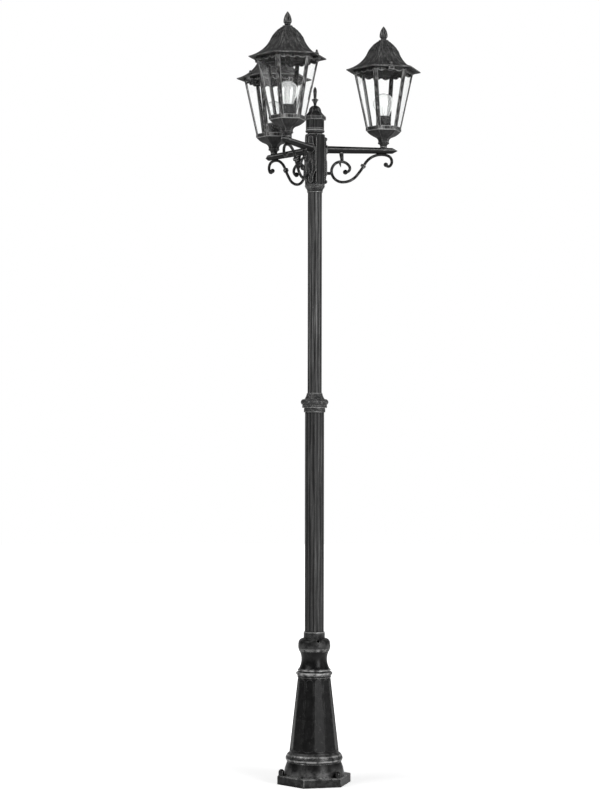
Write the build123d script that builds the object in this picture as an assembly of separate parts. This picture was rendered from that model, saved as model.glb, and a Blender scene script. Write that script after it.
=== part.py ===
from build123d import *
import os
from math import atan2, cos, degrees, radians, sin, sqrt, tan

# Outdoor lamp post with three six-sided lanterns on scrolled arms.
# Millimetres, +Z up. The origin is on the ground at the centre of the anchor bolt circle.
# The first arm points along +X, and the other two follow every 120 degrees.

# Fits
SLIP = 0.15
THREAD_PLAY = 0.1
MOVING_GAP = 0.3

# Counts
SIDES = 6
ARMS = 3

# Foot of the base casting
BASE_TURN = 7.1
FOOT_T = 25.5
FOOT_EDGE = 2.0
SKIRT_TOP_R = 77.5
SKIRT_H = 38.5
SKIRT_BULGE = 1.8
RING_H = 14.5
RING_TOP_R = 81.5
RING_BULGE = 2.7
GROOVE_R = 79.0
GROOVE_H = 1.8
TORUS_H = 7.7
TORUS_FOOT_R = 80.5
TORUS_BULGE = 0.6
TORUS_EDGE_R = 75.0

# Panelled cone of the base casting
CONE_STEP_R = 74.6
CONE_STEP_H = 4.0
CONE_STEP_HOLLOW = 0.6
CONE_FOOT_R = 71.4
CONE_TOP_R = 47.2
CONE_H = 214.0
PANELS = 12
PANEL_DEPTH = 2.2
PANEL_RIB = 6.0
PANEL_END = 10.0
PANEL_ARCH = 5.0

# Collar of the base casting
FLANGE_NECK_R = 48.8
FLANGE_NECK_H = 7.0
FLANGE_H = 8.5
FLANGE_BULGE = 3.2
FLANGE_EDGE_R = 49.8
BEAD_EDGE_R = 45.0
BEAD_STEP_H = 2.0
BEAD_H = 6.5
BEAD_BULGE = 3.0
SCOTIA_H = 51.5
SCOTIA_HOLLOW = 6.5
RIM_WALL = 15.5
RIM_STEP = 1.0
RIM_H = 6.0
RIM_BULGE = 1.2
COLLAR_WALL = 18.0
COLLAR_SIDE_H = 18.0
COLLAR_BULGE = 0.8
SHOULDER_WALL = 5.6
SHOULDER_H = 13.0
SHOULDER_BULGE = 3.2
LIP_WALL = 3.0
LIP_H = 18.0
CASTING_WALL = 5.0
LEDGE_T = 10.0
SOCKET_DEPTH = 96.5
CABLE_WAY_R = 60.0

# Anchors
ANCHORS = 3
ANCHOR_CIRCLE_R = 97.0
ANCHOR_TURN = 180.0
ANCHOR_TO_CORNER = 12.5
ANCHOR_HOLE_R = 4.5
CAP_R = 8.8
CAP_GAP = 0.7
CAP_WALL = 1.6
CAP_SKIRT_H = 9.5
CAP_DOME_H = 8.5
CAP_DOME_BULGE = 2.2
CAP_TIP_R = 1.0

# Set screws
SET_SCREWS = 3
SET_SCREW_TURN = -90.0
BASE_SCREW_R = 4.0
BASE_SCREW_L = 8.0
BASE_SCREW_DROP = 6.5
JOINT_SCREW_R = 3.0
JOINT_SCREW_L = 11.0
JOINT_SCREW_TURNS = (45.0, 135.0)
SOCKET_SHARE = 0.55
SOCKET_KEY_DEPTH = 4.0

# Poles
LOWER_POLE_R = 27.75
LOWER_POLE_BORE_R = 24.0
LOWER_POLE_L = 743.0
LOWER_FLUTES = 16
LOWER_FLUTE_TURN = 9.0
UPPER_POLE_R = 21.0
UPPER_POLE_BORE_R = 17.5
UPPER_POLE_SHOWN = 583.0
UPPER_FLUTES = 12
UPPER_FLUTE_TURN = 23.0
FLUTE_DEPTH = 1.0
FLUTE_LAND = 1.6

# Collar between the poles
BAND_WALL = 3.1
BAND_H = 11.0
BAND_GROOVE_H = 2.0
STEP_OUT = 5.0
STEP_H = 8.0
JOINT_TORUS_EDGE_OUT = 2.5
JOINT_TORUS_H = 17.0
JOINT_TORUS_BULGE = 6.6
JOINT_CONE_WALL = 8.45
JOINT_CONE_H = 18.0
JOINT_LIP = 1.2
SPIGOT_L = 80.0
SPIGOT_LEDGE_T = 8.0
SPIGOT_LEDGE = 3.0

# Capital under the hub
CAPITAL_RING_WALL = 6.4
CAPITAL_RING_H = 4.0
CAPITAL_NECK_WALL = 4.9
CAPITAL_BEAD_H = 4.0
CAPITAL_CUP_H = 13.0
CAPITAL_LIP = 1.3

# Hub
HUB_FLAT = 27.5
HUB_H = 148.0
HUB_END_R = 28.2
HUB_END_H = 12.0
HUB_END_BULGE = 0.8
HUB_CHAMBER_R = 18.0
HUB_SOCKET = 25.0
ARM_RISE = 105.0

# Hub cap
PLUG_L = 14.0
PLUG_FLOOR = 3.0
CAP_NECK_R = 21.5
CAP_NECK_H = 6.5
DRUM_R = 26.5
DRUM_RING_H = 6.5
DRUM_RING_BULGE = 1.4
DRUM_H = 30.0
DRUM_WALL = 4.0
EAVELET_R = 32.2
EAVELET_H = 10.0
OGEE_WAIST_R = 18.2
OGEE_WAIST_H = 14.8
OGEE_HOLLOW = 0.9
OGEE_TOP_R = 8.4
OGEE_TOP_H = 16.2
OGEE_BULGE = 2.4
WIRE_HOLE_R = 3.5
WIRE_HOLE_AT = 11.5

# Hub finial
SPIKE_STUD_R = 2.5
SPIKE_STUD_L = 9.0
SPIKE_NECK_R = 4.0
SPIKE_NECK_H = 16.0
SPIKE_NECK_HOLLOW = 1.6
SPIKE_DISC_R = 8.8
SPIKE_DISC_H = 3.0
SPIKE_WAIST_H = 3.0
SPIKE_R = 5.0
SPIKE_SHAFT_H = 16.0
SPIKE_TIP_H = 18.0
SPIKE_TIP_BULGE = 2.0
SPIKE_TIP_R = 0.6

# Terminal block in the hub
BLOCK_GAP = 2.0
BLOCK_W = 13.0
BLOCK_H = 16.0
BLOCK_WAYS = 3
BLOCK_PITCH = 9.0
BLOCK_WIRE_R = 2.4
BLOCK_SCREW_R = 1.9
BLOCK_SCREW_L = 3.6

# Arm plates
PLATE_T = 5.0
PLATE_HALF_W = 14.8
PLATE_HALF_H = 68.0
PLATE_STRAIGHT = 34.0
PLATE_END_W = 7.0
PLATE_END_AT = 56.0
PLATE_CURVE = 2.0
PLATE_DROP = 32.0
PLATE_SCREW_AT = 62.0
PLATE_BOSS_R = 13.5
PLATE_BOSS_T = 3.5
MEDAL_HALF_H = 24.0
MEDAL_HALF_W = 8.0
MEDAL_RISE = 3.0
MEDAL_DROP = 22.0
PLATE_SCREW_R = 2.5
PLATE_SCREW_BITE = 4.8
PLATE_HEAD_R = 4.6
PLATE_HEAD_H = 3.4
PLATE_SLOT_W = 1.2
PLATE_SLOT_DEPTH = 1.2

# Arms
ARM_REACH = 202.0
ARM_ROOT_R = 10.8
ARM_END_R = 8.6
ARM_TIP_FROM = 26.0
ARM_TIP_AT = 41.0
ARM_TIP_R = 1.0
ARM_BORE_R = 5.5
ARM_SPIGOT_R = 8.0
SEAT_R = 10.0
SEAT_RISE = 10.5

# Scrolls under the arms
SCROLL_R = 4.1
BUD_AT = 89.5
BUD_DROP = 64.5
BUD_HEADING = -9.0
CURL_R = 11.5
CURL_TURN = 133.0
BACK_R = 28.5
BACK_TURN = 159.0
BELLY_R = 32.0
BELLY_TURN = 75.0
SWEEP_R = 53.5
SWEEP_TURN = 52.0
RISE_R = 240.0
RISE_TURN = 10.0
CREST_R = 58.0
CREST_TURN = 77.5
HOOK_R = 18.0
HOOK_TURN = 112.0
TAIL_R = 8.0
TAIL_TURN = 118.0
SCROLL_BUD_R = 7.2
SCROLL_END_R = 6.6
STRUT_TOP_R = 7.3
STRUT_FOOT_R = 4.5
STRUT_TOP_AT = 76.5
STRUT_FOOT_AT = 80.0
STRUT_DROP = 33.5
LINK_DROP = 69.0
LINK_TO = 50.0
LINK_R = 4.5
KNOT_AT = 142.0
KNOT_DROP = 46.0
KNOT_R = 7.8
KNOT_L = 6.5
KNOT_LEAN = 58.0
THORN_AT = 72.5
THORN_DROP = 34.5
THORN_TIP_AT = 76.0
THORN_TIP_DROP = 50.5
THORN_R = 4.6

# Turn of each lantern on its arm, as clamped
LANTERN_TURNS = (5.0, -1.0, 4.5)

# Lantern bowl, heights above the arm's centre line
NECK_H = 9.0
NECK_HOLLOW = 1.6
NECK_BEAD_R = 14.3
NECK_BEAD_H = 4.5
NECK_BEAD_BULGE = 2.4
BOWL_FOOT_R = 16.0
BOWL_WAIST_R = 26.5
BOWL_WAIST_H = 15.0
BOWL_HOLLOW = 3.2
BOWL_RIM_IN = 1.3
BOWL_RIM_H = 18.0
BOWL_BULGE = 2.2
BOWL_RIM_WALL = 6.0
BOWL_FLOOR_SPARE = 4.5
BOWL_FLOOR_DROP = 11.0

# Lantern cage
SILL_PROUD = 0.6
SILL_W = 8.8
SILL_H = 8.0
SILL_LIP_H = 3.0
SILL_LIP = 2.2
PILLAR_W = 13.0
PILLAR_T = 3.6
PILLAR_CROWN = 1.5
PILLAR_FOOT_R = 53.0
PILLAR_SPREAD = 37.0
HEAD_H = 166.5
HEAD_OVERHANG = 1.0
HEAD_WALL = 3.2
HEAD_BAND_H = 6.0
LOBES = 3
LOBE_DROP = 10.5
LOBE_R = 14.0
LUG_W = 16.0
LUG_T = 7.0
LUG_END = 8.0
PANE_T = 2.5
PANE_PLAY = 0.2
PANE_EDGE_GAP = 2.4
PANE_TOP_DROP = 5.0

# Lantern roof
EAVE_OVERHANG = 21.0
EAVE_LIP_H = 3.0
SOFFIT_SEAT = 2.0
ROOF_WAIST_R = 50.0
ROOF_WAIST_H = 48.0
ROOF_HOLLOW = 8.0
ROOF_TOP_R = 14.5
ROOF_TOP_H = 38.5
ROOF_BULGE = 4.0
ROOF_WALL = 4.0
ROOF_COLLAR_R = 14.4
ROOF_COLLAR_H = 4.5

# Acorn finial on each roof
ACORN_STUD_R = 3.0
ACORN_STUD_L = 7.0
ACORN_NECK_R = 5.6
ACORN_NECK_H = 3.0
ACORN_RING_R = 7.8
ACORN_RING_H = 3.5
ACORN_RING_BULGE = 1.2
ACORN_CUP_R = 7.4
ACORN_R = 11.9
ACORN_CUP_H = 5.0
ACORN_TIP_H = 29.5
ACORN_TIP_BULGE = 3.0
ACORN_TIP_R = 0.7

# Captive thumbscrews through each eave
THUMB_OUT = 8.0
THUMB_TURNS = (90.0, -90.0)
THUMB_SHANK_R = 1.9
THUMB_BITE = 6.0
THUMB_PAD_R = 6.0
THUMB_PAD_RISE = 9.6
THUMB_HEAD_R = 4.6
THUMB_HEAD_H = 2.4
THUMB_WAIST_R = 2.6
THUMB_WAIST_H = 2.0
THUMB_POINT_R = 3.6
THUMB_POINT_H = 6.0
THUMB_POINT_BULGE = 0.6
THUMB_TIP_R = 0.5
THUMB_NOTCHES = 8
THUMB_NOTCH_R = 0.7

# Lampholder, its sleeve and its threaded nipple
NIPPLE_R = 5.0
NIPPLE_BORE_R = 3.2
NIPPLE_FOOT = 2.0
NIPPLE_BITE = 6.0
HOLDER_WALL = 5.5
HOLDER_FLOOR = 14.7
HOLDER_DEPTH = 30.0
HOLDER_PLAY = 0.6
HOLDER_WIRE_R = 1.8
HOLDER_WIRE_AT = 10.0
SLEEVE_PLAY = 0.8
SLEEVE_WALL = 1.2
SLEEVE_H = 54.0

# Bulb
BULB_CAP_R = 13.2
BULB_TIP_R = 4.5
BULB_TIP_H = 4.5
BULB_GLASS_CONE_R = 10.5
THREADS = 5
THREAD_PITCH = 3.6
THREAD_DEPTH = 0.9
BULB_RIM_R = 13.4
BULB_RIM_H = 4.5
BULB_R = 30.0
BULB_NECK_R = 12.8
BULB_NECK_H = 12.0
BULB_NECK_TOP_R = 15.7
BULB_H = 80.0
BULB_WALL = 0.9
BULB_SHOULDER = -28.0
BULB_SHOULDER_HOLLOW = 1.2
STEM_FOOT_R = 7.0
STEM_R = 2.6
STEM_H = 20.0
LEAD_R = 0.5
LEAD_SPREAD = 9.0
LEAD_TOP_H = 43.0
SUPPORT_SPREAD = 3.2
FILAMENT_R = 0.45

FLAT = cos(radians(180 / SIDES))
REACH_PAST = 1.5


def outline(start, *steps):
    """Closed face from straight runs and arcs.

    A step is (x, y) for a straight run, or (x, y, bulge) for an arc whose middle stands that far to the right
    of the run. The last point joins the first.
    """
    edges = []
    here = start
    for x, y, *bulge in (*steps, start):
        edges.append(SagittaArc(here, (x, y), -bulge[0]) if bulge else Line(here, (x, y)))
        here = (x, y)
    return make_face(edges)


def turned(start, *steps):
    """Solid of revolution about Z of an outline of (radius, height) points."""
    return revolve(Plane.XZ * outline(start, *steps), Axis.Z)


def six_sided(start, *steps):
    """Six-sided counterpart of a turned piece: the outline's first coordinate is the distance to a corner."""
    points = [(x * FLAT, y, *bulge) for x, y, *bulge in (start, *steps)]
    reach = REACH_PAST * max(x for x, _, *_ in points)
    low = min(y for _, y, *_ in points)
    high = max(y for _, y, *_ in points)
    half = reach * tan(radians(180 / SIDES))
    side = extrude(Plane.XZ * outline(*points), amount=half, both=True)
    wedge = Polygon((0, 0), (reach, -half), (reach, half), align=None)
    sector = Pos(0, 0, low) * extrude(wedge, amount=high - low)
    wedge = Rot(0, 0, 180 / SIDES) * (side & sector)
    return Part() + [Rot(0, 0, 360 / SIDES * k) * wedge for k in range(SIDES)]


def column(radius, low, high):
    """Upright cylinder between two heights."""
    return Pos(0, 0, low) * Cylinder(radius, high - low, align=(Align.CENTER, Align.CENTER, Align.MIN))


def rod(radius, near, far):
    """Cylinder along X between two distances."""
    return Rot(0, 90, 0) * column(radius, near, far)


def spread(count, piece, turn=0.0):
    """List of copies of a piece, evenly turned about Z."""
    return [Rot(0, 0, turn + 360 / count * k) * piece for k in range(count)]


def group(pieces):
    """Separate solids that share one node."""
    return Compound(children=list(pieces))


def node(name, shape):
    """Writes one named piece."""
    export_step(shape, f"parts/{name}.step")


def fluted_tube(radius, bore_r, flutes, turn, low, high):
    """Tube with shallow round flutes along its whole length, between narrow lands."""
    half = (360 / flutes - degrees(FLUTE_LAND / radius)) / 2
    chord = radius * sin(radians(half))
    sag = FLUTE_DEPTH - radius * (1 - cos(radians(half)))
    cutter_r = (chord**2 + sag**2) / (2 * sag)
    centre = radius - FLUTE_DEPTH + cutter_r
    section = Circle(radius) - Circle(bore_r)
    section -= [spot * Circle(cutter_r) for spot in PolarLocations(centre, flutes, start_angle=turn)]
    return Pos(0, 0, low) * extrude(section, amount=high - low)


# Radii of the foot around its anchors
FOOT_CORNER_R = ANCHOR_CIRCLE_R + ANCHOR_TO_CORNER
SKIRT_FOOT_R = ANCHOR_CIRCLE_R - CAP_R - CAP_GAP

# Heights of the base casting, from the ground up
SKIRT_TOP = FOOT_T + SKIRT_H
RING_TOP = SKIRT_TOP + RING_H
GROOVE_TOP = RING_TOP + GROOVE_H
TORUS_TOP = GROOVE_TOP + TORUS_H
CONE_FOOT = TORUS_TOP + CONE_STEP_H
CONE_TOP = CONE_FOOT + CONE_H
FLANGE_FOOT = CONE_TOP + FLANGE_NECK_H
FLANGE_TOP = FLANGE_FOOT + FLANGE_H
BEAD_FOOT = FLANGE_TOP + BEAD_STEP_H
BEAD_TOP = BEAD_FOOT + BEAD_H
SCOTIA_TOP = BEAD_TOP + SCOTIA_H
RIM_TOP = SCOTIA_TOP + RIM_H
COLLAR_SIDE_TOP = RIM_TOP + COLLAR_SIDE_H
COLLAR_TOP = COLLAR_SIDE_TOP + SHOULDER_H
BASE_TOP = COLLAR_TOP + LIP_H
POLE_LEDGE = BASE_TOP - SOCKET_DEPTH
BASE_SOCKET_R = LOWER_POLE_R + SLIP
RIM_R = BASE_SOCKET_R + RIM_WALL
COLLAR_R = BASE_SOCKET_R + COLLAR_WALL
BASE_SCREW_Z = COLLAR_TOP - BASE_SCREW_DROP

# Heights of the poles, their collar, the hub and its cap
LOWER_POLE_TOP = POLE_LEDGE + LOWER_POLE_L
BAND_FOOT = LOWER_POLE_TOP - BAND_H
STEP_FOOT = LOWER_POLE_TOP + BAND_GROOVE_H
STEP_TOP = STEP_FOOT + STEP_H
JOINT_TORUS_TOP = STEP_TOP + JOINT_TORUS_H
JOINT_TOP = JOINT_TORUS_TOP + JOINT_CONE_H
BAND_R = LOWER_POLE_R + SLIP + BAND_WALL
STEP_R = BAND_R + STEP_OUT
JOINT_TORUS_EDGE_R = BAND_R + JOINT_TORUS_EDGE_OUT
SPIGOT_FOOT = LOWER_POLE_TOP - SPIGOT_L
UPPER_POLE_FOOT = SPIGOT_FOOT + SPIGOT_LEDGE_T
UPPER_SOCKET_R = UPPER_POLE_R + SLIP
JOINT_SCREW_Z = STEP_TOP + JOINT_TORUS_H / 2
CAPITAL_FOOT = JOINT_TOP + UPPER_POLE_SHOWN
CAPITAL_BEAD_FOOT = CAPITAL_FOOT + CAPITAL_CUP_H
CAPITAL_RING_FOOT = CAPITAL_BEAD_FOOT + CAPITAL_BEAD_H
HUB_FOOT = CAPITAL_RING_FOOT + CAPITAL_RING_H
UPPER_POLE_TOP = HUB_FOOT + HUB_SOCKET
HUB_TOP = HUB_FOOT + HUB_H
ARM_Z = HUB_FOOT + ARM_RISE
DRUM_RING_FOOT = HUB_TOP + CAP_NECK_H
DRUM_FOOT = DRUM_RING_FOOT + DRUM_RING_H
DRUM_TOP = DRUM_FOOT + DRUM_H
EAVELET_TOP = DRUM_TOP + EAVELET_H
OGEE_WAIST = EAVELET_TOP + OGEE_WAIST_H
OGEE_TOP = OGEE_WAIST + OGEE_TOP_H
PLUG_FOOT = HUB_TOP - PLUG_L
BLOCK_L = 2 * sqrt((HUB_CHAMBER_R - BLOCK_GAP) ** 2 - (BLOCK_W / 2) ** 2)

# Distances along an arm, from the post's axis
PLATE_FACE = HUB_FLAT + PLATE_T
ARM_SHOULDER = PLATE_FACE + PLATE_BOSS_T
ARM_TIP_START = ARM_REACH + ARM_TIP_FROM
ARM_TIP_END = ARM_REACH + ARM_TIP_AT

# Heights in a lantern, above the arm's centre line
NECK_TOP = SEAT_RISE + NECK_H
BOWL_FOOT = NECK_TOP + NECK_BEAD_H
BOWL_WAIST = BOWL_FOOT + BOWL_WAIST_H
BOWL_RIM = BOWL_WAIST + BOWL_RIM_H
BOWL_RIM_R = PILLAR_FOOT_R + SILL_PROUD - BOWL_RIM_IN
BOWL_FLOOR = BOWL_RIM - BOWL_FLOOR_DROP
SILL_TOP = BOWL_RIM + SILL_H
HEAD_TOP = SILL_TOP + HEAD_H
SILL_R = PILLAR_FOOT_R + SILL_PROUD
SILL_INNER_R = SILL_R - SILL_W
PILLAR_SLOPE = PILLAR_SPREAD / HEAD_H
HEAD_R = PILLAR_FOOT_R + PILLAR_SPREAD + HEAD_OVERHANG
EAVE_R = HEAD_R + EAVE_OVERHANG
SOFFIT_R = HEAD_R - HEAD_WALL - SOFFIT_SEAT
SOFFIT = HEAD_TOP + MOVING_GAP
EAVE_TOP = SOFFIT + EAVE_LIP_H
ROOF_WAIST = EAVE_TOP + ROOF_WAIST_H
ROOF_TOP = ROOF_WAIST + ROOF_TOP_H
ROOF_COLLAR_TOP = ROOF_TOP + ROOF_COLLAR_H / 2
THUMB_AT = HEAD_R * FLAT + THUMB_OUT
THUMB_SEAT = SOFFIT + THUMB_PAD_RISE
HOLDER_BORE_R = BULB_RIM_R + HOLDER_PLAY
HOLDER_R = HOLDER_BORE_R + HOLDER_WALL
SLEEVE_R = HOLDER_R + SLEEVE_PLAY + SLEEVE_WALL
BOWL_FLOOR_R = (SLEEVE_R + BOWL_FLOOR_SPARE) / FLAT
HOLDER_SEAT = BOWL_FLOOR + HOLDER_FLOOR
BULB_FOOT = HOLDER_SEAT + MOVING_GAP
BULB_THREAD_FOOT = BULB_FOOT + BULB_TIP_H
BULB_RIM_FOOT = BULB_THREAD_FOOT + THREADS * THREAD_PITCH
BULB_SEAT = BULB_RIM_FOOT + BULB_RIM_H
BULB_TOP = BULB_SEAT + BULB_H


def base_casting():
    """Hollow foot, panelled cone and collar, with anchor holes and tapped set screw holes."""
    shell = turned(
        (CABLE_WAY_R, 0),
        (SKIRT_FOOT_R, 0),
        (SKIRT_FOOT_R, FOOT_T),
        (SKIRT_TOP_R, SKIRT_TOP, SKIRT_BULGE),
        (RING_TOP_R, RING_TOP, RING_BULGE),
        (GROOVE_R, RING_TOP),
        (GROOVE_R, GROOVE_TOP),
        (TORUS_FOOT_R, GROOVE_TOP),
        (TORUS_EDGE_R, TORUS_TOP, TORUS_BULGE),
        (CONE_STEP_R, TORUS_TOP),
        (CONE_FOOT_R, CONE_FOOT, -CONE_STEP_HOLLOW),
        (CONE_TOP_R, CONE_TOP),
        (FLANGE_NECK_R, CONE_TOP),
        (FLANGE_NECK_R, FLANGE_FOOT),
        (FLANGE_EDGE_R, FLANGE_FOOT),
        (FLANGE_EDGE_R, FLANGE_TOP, FLANGE_BULGE),
        (BEAD_EDGE_R, FLANGE_TOP),
        (BEAD_EDGE_R, BEAD_FOOT),
        (BEAD_EDGE_R, BEAD_TOP, BEAD_BULGE),
        (RIM_R - RIM_STEP, SCOTIA_TOP, -SCOTIA_HOLLOW),
        (RIM_R, SCOTIA_TOP),
        (RIM_R, RIM_TOP, RIM_BULGE),
        (COLLAR_R, RIM_TOP),
        (COLLAR_R, COLLAR_SIDE_TOP, COLLAR_BULGE),
        (BASE_SOCKET_R + SHOULDER_WALL, COLLAR_TOP, SHOULDER_BULGE),
        (BASE_SOCKET_R + LIP_WALL, COLLAR_TOP),
        (BASE_SOCKET_R + LIP_WALL, BASE_TOP),
        (BASE_SOCKET_R, BASE_TOP),
        (BASE_SOCKET_R, POLE_LEDGE),
        (LOWER_POLE_BORE_R, POLE_LEDGE),
        (LOWER_POLE_BORE_R, POLE_LEDGE - LEDGE_T),
        (CONE_TOP_R - CASTING_WALL - PANEL_DEPTH, CONE_TOP),
        (CABLE_WAY_R, TORUS_TOP),
    )
    foot = extrude(RegularPolygon(FOOT_CORNER_R, SIDES), amount=FOOT_T)
    foot = chamfer(foot.faces().sort_by(Axis.Z)[-1].edges(), FOOT_EDGE)
    anchor = Pos(ANCHOR_CIRCLE_R, 0, 0) * column(ANCHOR_HOLE_R, 0, FOOT_T)
    foot -= [column(CABLE_WAY_R, 0, FOOT_T), *spread(ANCHORS, anchor, ANCHOR_TURN)]
    tapped = Pos(0, 0, BASE_SCREW_Z) * rod(BASE_SCREW_R + THREAD_PLAY, LOWER_POLE_R, COLLAR_R + COLLAR_WALL)
    casting = shell + foot
    casting -= spread(PANELS, panel_recess())
    casting -= spread(SET_SCREWS, tapped, SET_SCREW_TURN)
    return Rot(0, 0, BASE_TURN) * casting


def panel_recess():
    """Flat recess with arched ends, laid along the cone's slope."""
    run = CONE_FOOT_R - CONE_TOP_R
    slant = sqrt(run**2 + CONE_H**2)
    lean = atan2(run, CONE_H)
    middle = (CONE_FOOT_R + CONE_TOP_R) / 2 - PANEL_DEPTH
    floor = Plane(
        origin=(middle, 0, (CONE_FOOT + CONE_TOP) / 2),
        x_dir=(0, 1, 0),
        z_dir=(cos(lean), 0, sin(lean)),
    )
    half_turn = tan(radians(180 / PANELS))
    low_w = CONE_FOOT_R * half_turn - PANEL_RIB / 2
    high_w = CONE_TOP_R * half_turn - PANEL_RIB / 2
    half_h = slant / 2 - PANEL_END
    face = outline(
        (-low_w, -half_h),
        (low_w, -half_h, PANEL_ARCH),
        (high_w, half_h),
        (-high_w, half_h, PANEL_ARCH),
    )
    return extrude(floor * face, amount=PANEL_DEPTH + PANEL_ARCH)


def anchor_caps():
    """Hollow domed covers over the anchor nuts."""
    dome = FOOT_T + CAP_SKIRT_H
    cover = turned(
        (0, FOOT_T),
        (CAP_R, FOOT_T),
        (CAP_R, dome),
        (CAP_TIP_R, dome + CAP_DOME_H, CAP_DOME_BULGE),
        (0, dome + CAP_DOME_H),
    )
    cover -= column(CAP_R - CAP_WALL, FOOT_T, dome)
    return group(spread(ANCHORS, Pos(ANCHOR_CIRCLE_R, 0, 0) * cover, ANCHOR_TURN + BASE_TURN))


def set_screw(radius, length, pole_r):
    """Headless screw along X with its point on a pole and a hexagon socket in its outer end."""
    point = radius * SOCKET_SHARE
    body = turned(
        (0, pole_r),
        (point, pole_r),
        (radius, pole_r + radius - point),
        (radius, pole_r + length),
        (0, pole_r + length),
    )
    key = Pos(0, 0, pole_r + length - SOCKET_KEY_DEPTH) * extrude(
        RegularPolygon(radius * SOCKET_SHARE, SIDES), amount=SOCKET_KEY_DEPTH
    )
    return Rot(0, 90, 0) * (body - key)


def joint_collar():
    """Collar with a spigot into the lower pole and a socket for the upper pole."""
    spigot_r = LOWER_POLE_BORE_R - SLIP
    collar = turned(
        (UPPER_POLE_R - SPIGOT_LEDGE, SPIGOT_FOOT),
        (spigot_r, SPIGOT_FOOT),
        (spigot_r, LOWER_POLE_TOP),
        (LOWER_POLE_R + SLIP, LOWER_POLE_TOP),
        (LOWER_POLE_R + SLIP, BAND_FOOT),
        (BAND_R, BAND_FOOT),
        (BAND_R, LOWER_POLE_TOP),
        (BAND_R, STEP_FOOT, -BAND_GROOVE_H / 2),
        (STEP_R, STEP_FOOT),
        (STEP_R, STEP_TOP),
        (JOINT_TORUS_EDGE_R, STEP_TOP),
        (JOINT_TORUS_EDGE_R, JOINT_TORUS_TOP, JOINT_TORUS_BULGE),
        (UPPER_SOCKET_R + JOINT_CONE_WALL, JOINT_TORUS_TOP),
        (UPPER_SOCKET_R + JOINT_LIP, JOINT_TOP, -JOINT_LIP),
        (UPPER_SOCKET_R, JOINT_TOP),
        (UPPER_SOCKET_R, UPPER_POLE_FOOT),
        (UPPER_POLE_R - SPIGOT_LEDGE, UPPER_POLE_FOOT),
    )
    reach = JOINT_TORUS_EDGE_R + JOINT_TORUS_H
    tapped = Pos(0, 0, JOINT_SCREW_Z) * rod(JOINT_SCREW_R + THREAD_PLAY, UPPER_POLE_R, reach)
    return collar - [Rot(0, 0, turn) * tapped for turn in JOINT_SCREW_TURNS]


def pole_capital():
    """Moulded ring round the top of the upper pole, on which the hub stands."""
    return turned(
        (UPPER_SOCKET_R, CAPITAL_FOOT),
        (UPPER_SOCKET_R + CAPITAL_LIP, CAPITAL_FOOT),
        (UPPER_SOCKET_R + CAPITAL_NECK_WALL, CAPITAL_BEAD_FOOT, -CAPITAL_LIP),
        (UPPER_SOCKET_R + CAPITAL_NECK_WALL, CAPITAL_RING_FOOT, CAPITAL_BEAD_H / 2),
        (UPPER_SOCKET_R + CAPITAL_RING_WALL, CAPITAL_RING_FOOT),
        (UPPER_SOCKET_R + CAPITAL_RING_WALL, HUB_FOOT, CAPITAL_RING_H / 2),
        (UPPER_SOCKET_R, HUB_FOOT),
    )


def hub_body():
    """Six-sided hub with rounded ends, a socket for the pole, a wiring chamber and three arm holes."""
    corner = HUB_FLAT / FLAT
    envelope = turned(
        (0, HUB_FOOT),
        (HUB_END_R, HUB_FOOT),
        (corner, HUB_FOOT + HUB_END_H, HUB_END_BULGE),
        (corner, HUB_TOP - HUB_END_H),
        (HUB_END_R, HUB_TOP, HUB_END_BULGE),
        (0, HUB_TOP),
    )
    prism = six_sided((0, HUB_FOOT), (corner, HUB_FOOT), (corner, HUB_TOP), (0, HUB_TOP))
    body = (Rot(0, 0, 180 / SIDES) * prism) & envelope
    body -= column(UPPER_SOCKET_R, HUB_FOOT, UPPER_POLE_TOP)
    body -= column(HUB_CHAMBER_R, UPPER_POLE_TOP, HUB_TOP)
    arm_hole = Pos(0, 0, ARM_Z) * rod(ARM_SPIGOT_R + SLIP, 0, HUB_FLAT)
    tapped = rod(PLATE_SCREW_R + THREAD_PLAY, HUB_FLAT - PLATE_SCREW_BITE - THREAD_PLAY, HUB_FLAT)
    body -= spread(ARMS, arm_hole)
    for level in plate_screw_levels():
        body -= spread(ARMS, Pos(0, 0, ARM_Z + level) * tapped)
    return body


def hub_cap():
    """Drum with a six-sided ogee roof and a closed plug that drops into the hub."""
    plug_r = HUB_CHAMBER_R - SLIP
    drum_bore_r = plug_r - DRUM_WALL
    drum = turned(
        (0, PLUG_FOOT),
        (plug_r, PLUG_FOOT),
        (plug_r, HUB_TOP),
        (CAP_NECK_R, HUB_TOP),
        (CAP_NECK_R, DRUM_RING_FOOT),
        (DRUM_R, DRUM_RING_FOOT),
        (DRUM_R, DRUM_FOOT, DRUM_RING_BULGE),
        (DRUM_R, DRUM_TOP),
        (0, DRUM_TOP),
    )
    roof = six_sided(
        (0, DRUM_TOP),
        (EAVELET_R, DRUM_TOP),
        (EAVELET_R, EAVELET_TOP),
        (OGEE_WAIST_R, OGEE_WAIST, -OGEE_HOLLOW),
        (OGEE_TOP_R, OGEE_TOP, OGEE_BULGE),
        (0, OGEE_TOP),
    )
    cap = drum + roof
    cap -= column(drum_bore_r, PLUG_FOOT + PLUG_FLOOR, DRUM_TOP - DRUM_WALL)
    cap -= column(SPIKE_STUD_R + THREAD_PLAY, OGEE_TOP - SPIKE_STUD_L - SLIP, OGEE_TOP)
    wire_hole = Pos(WIRE_HOLE_AT, 0, 0) * column(WIRE_HOLE_R, PLUG_FOOT, PLUG_FOOT + PLUG_FLOOR)
    return cap - spread(2, wire_hole)


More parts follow.
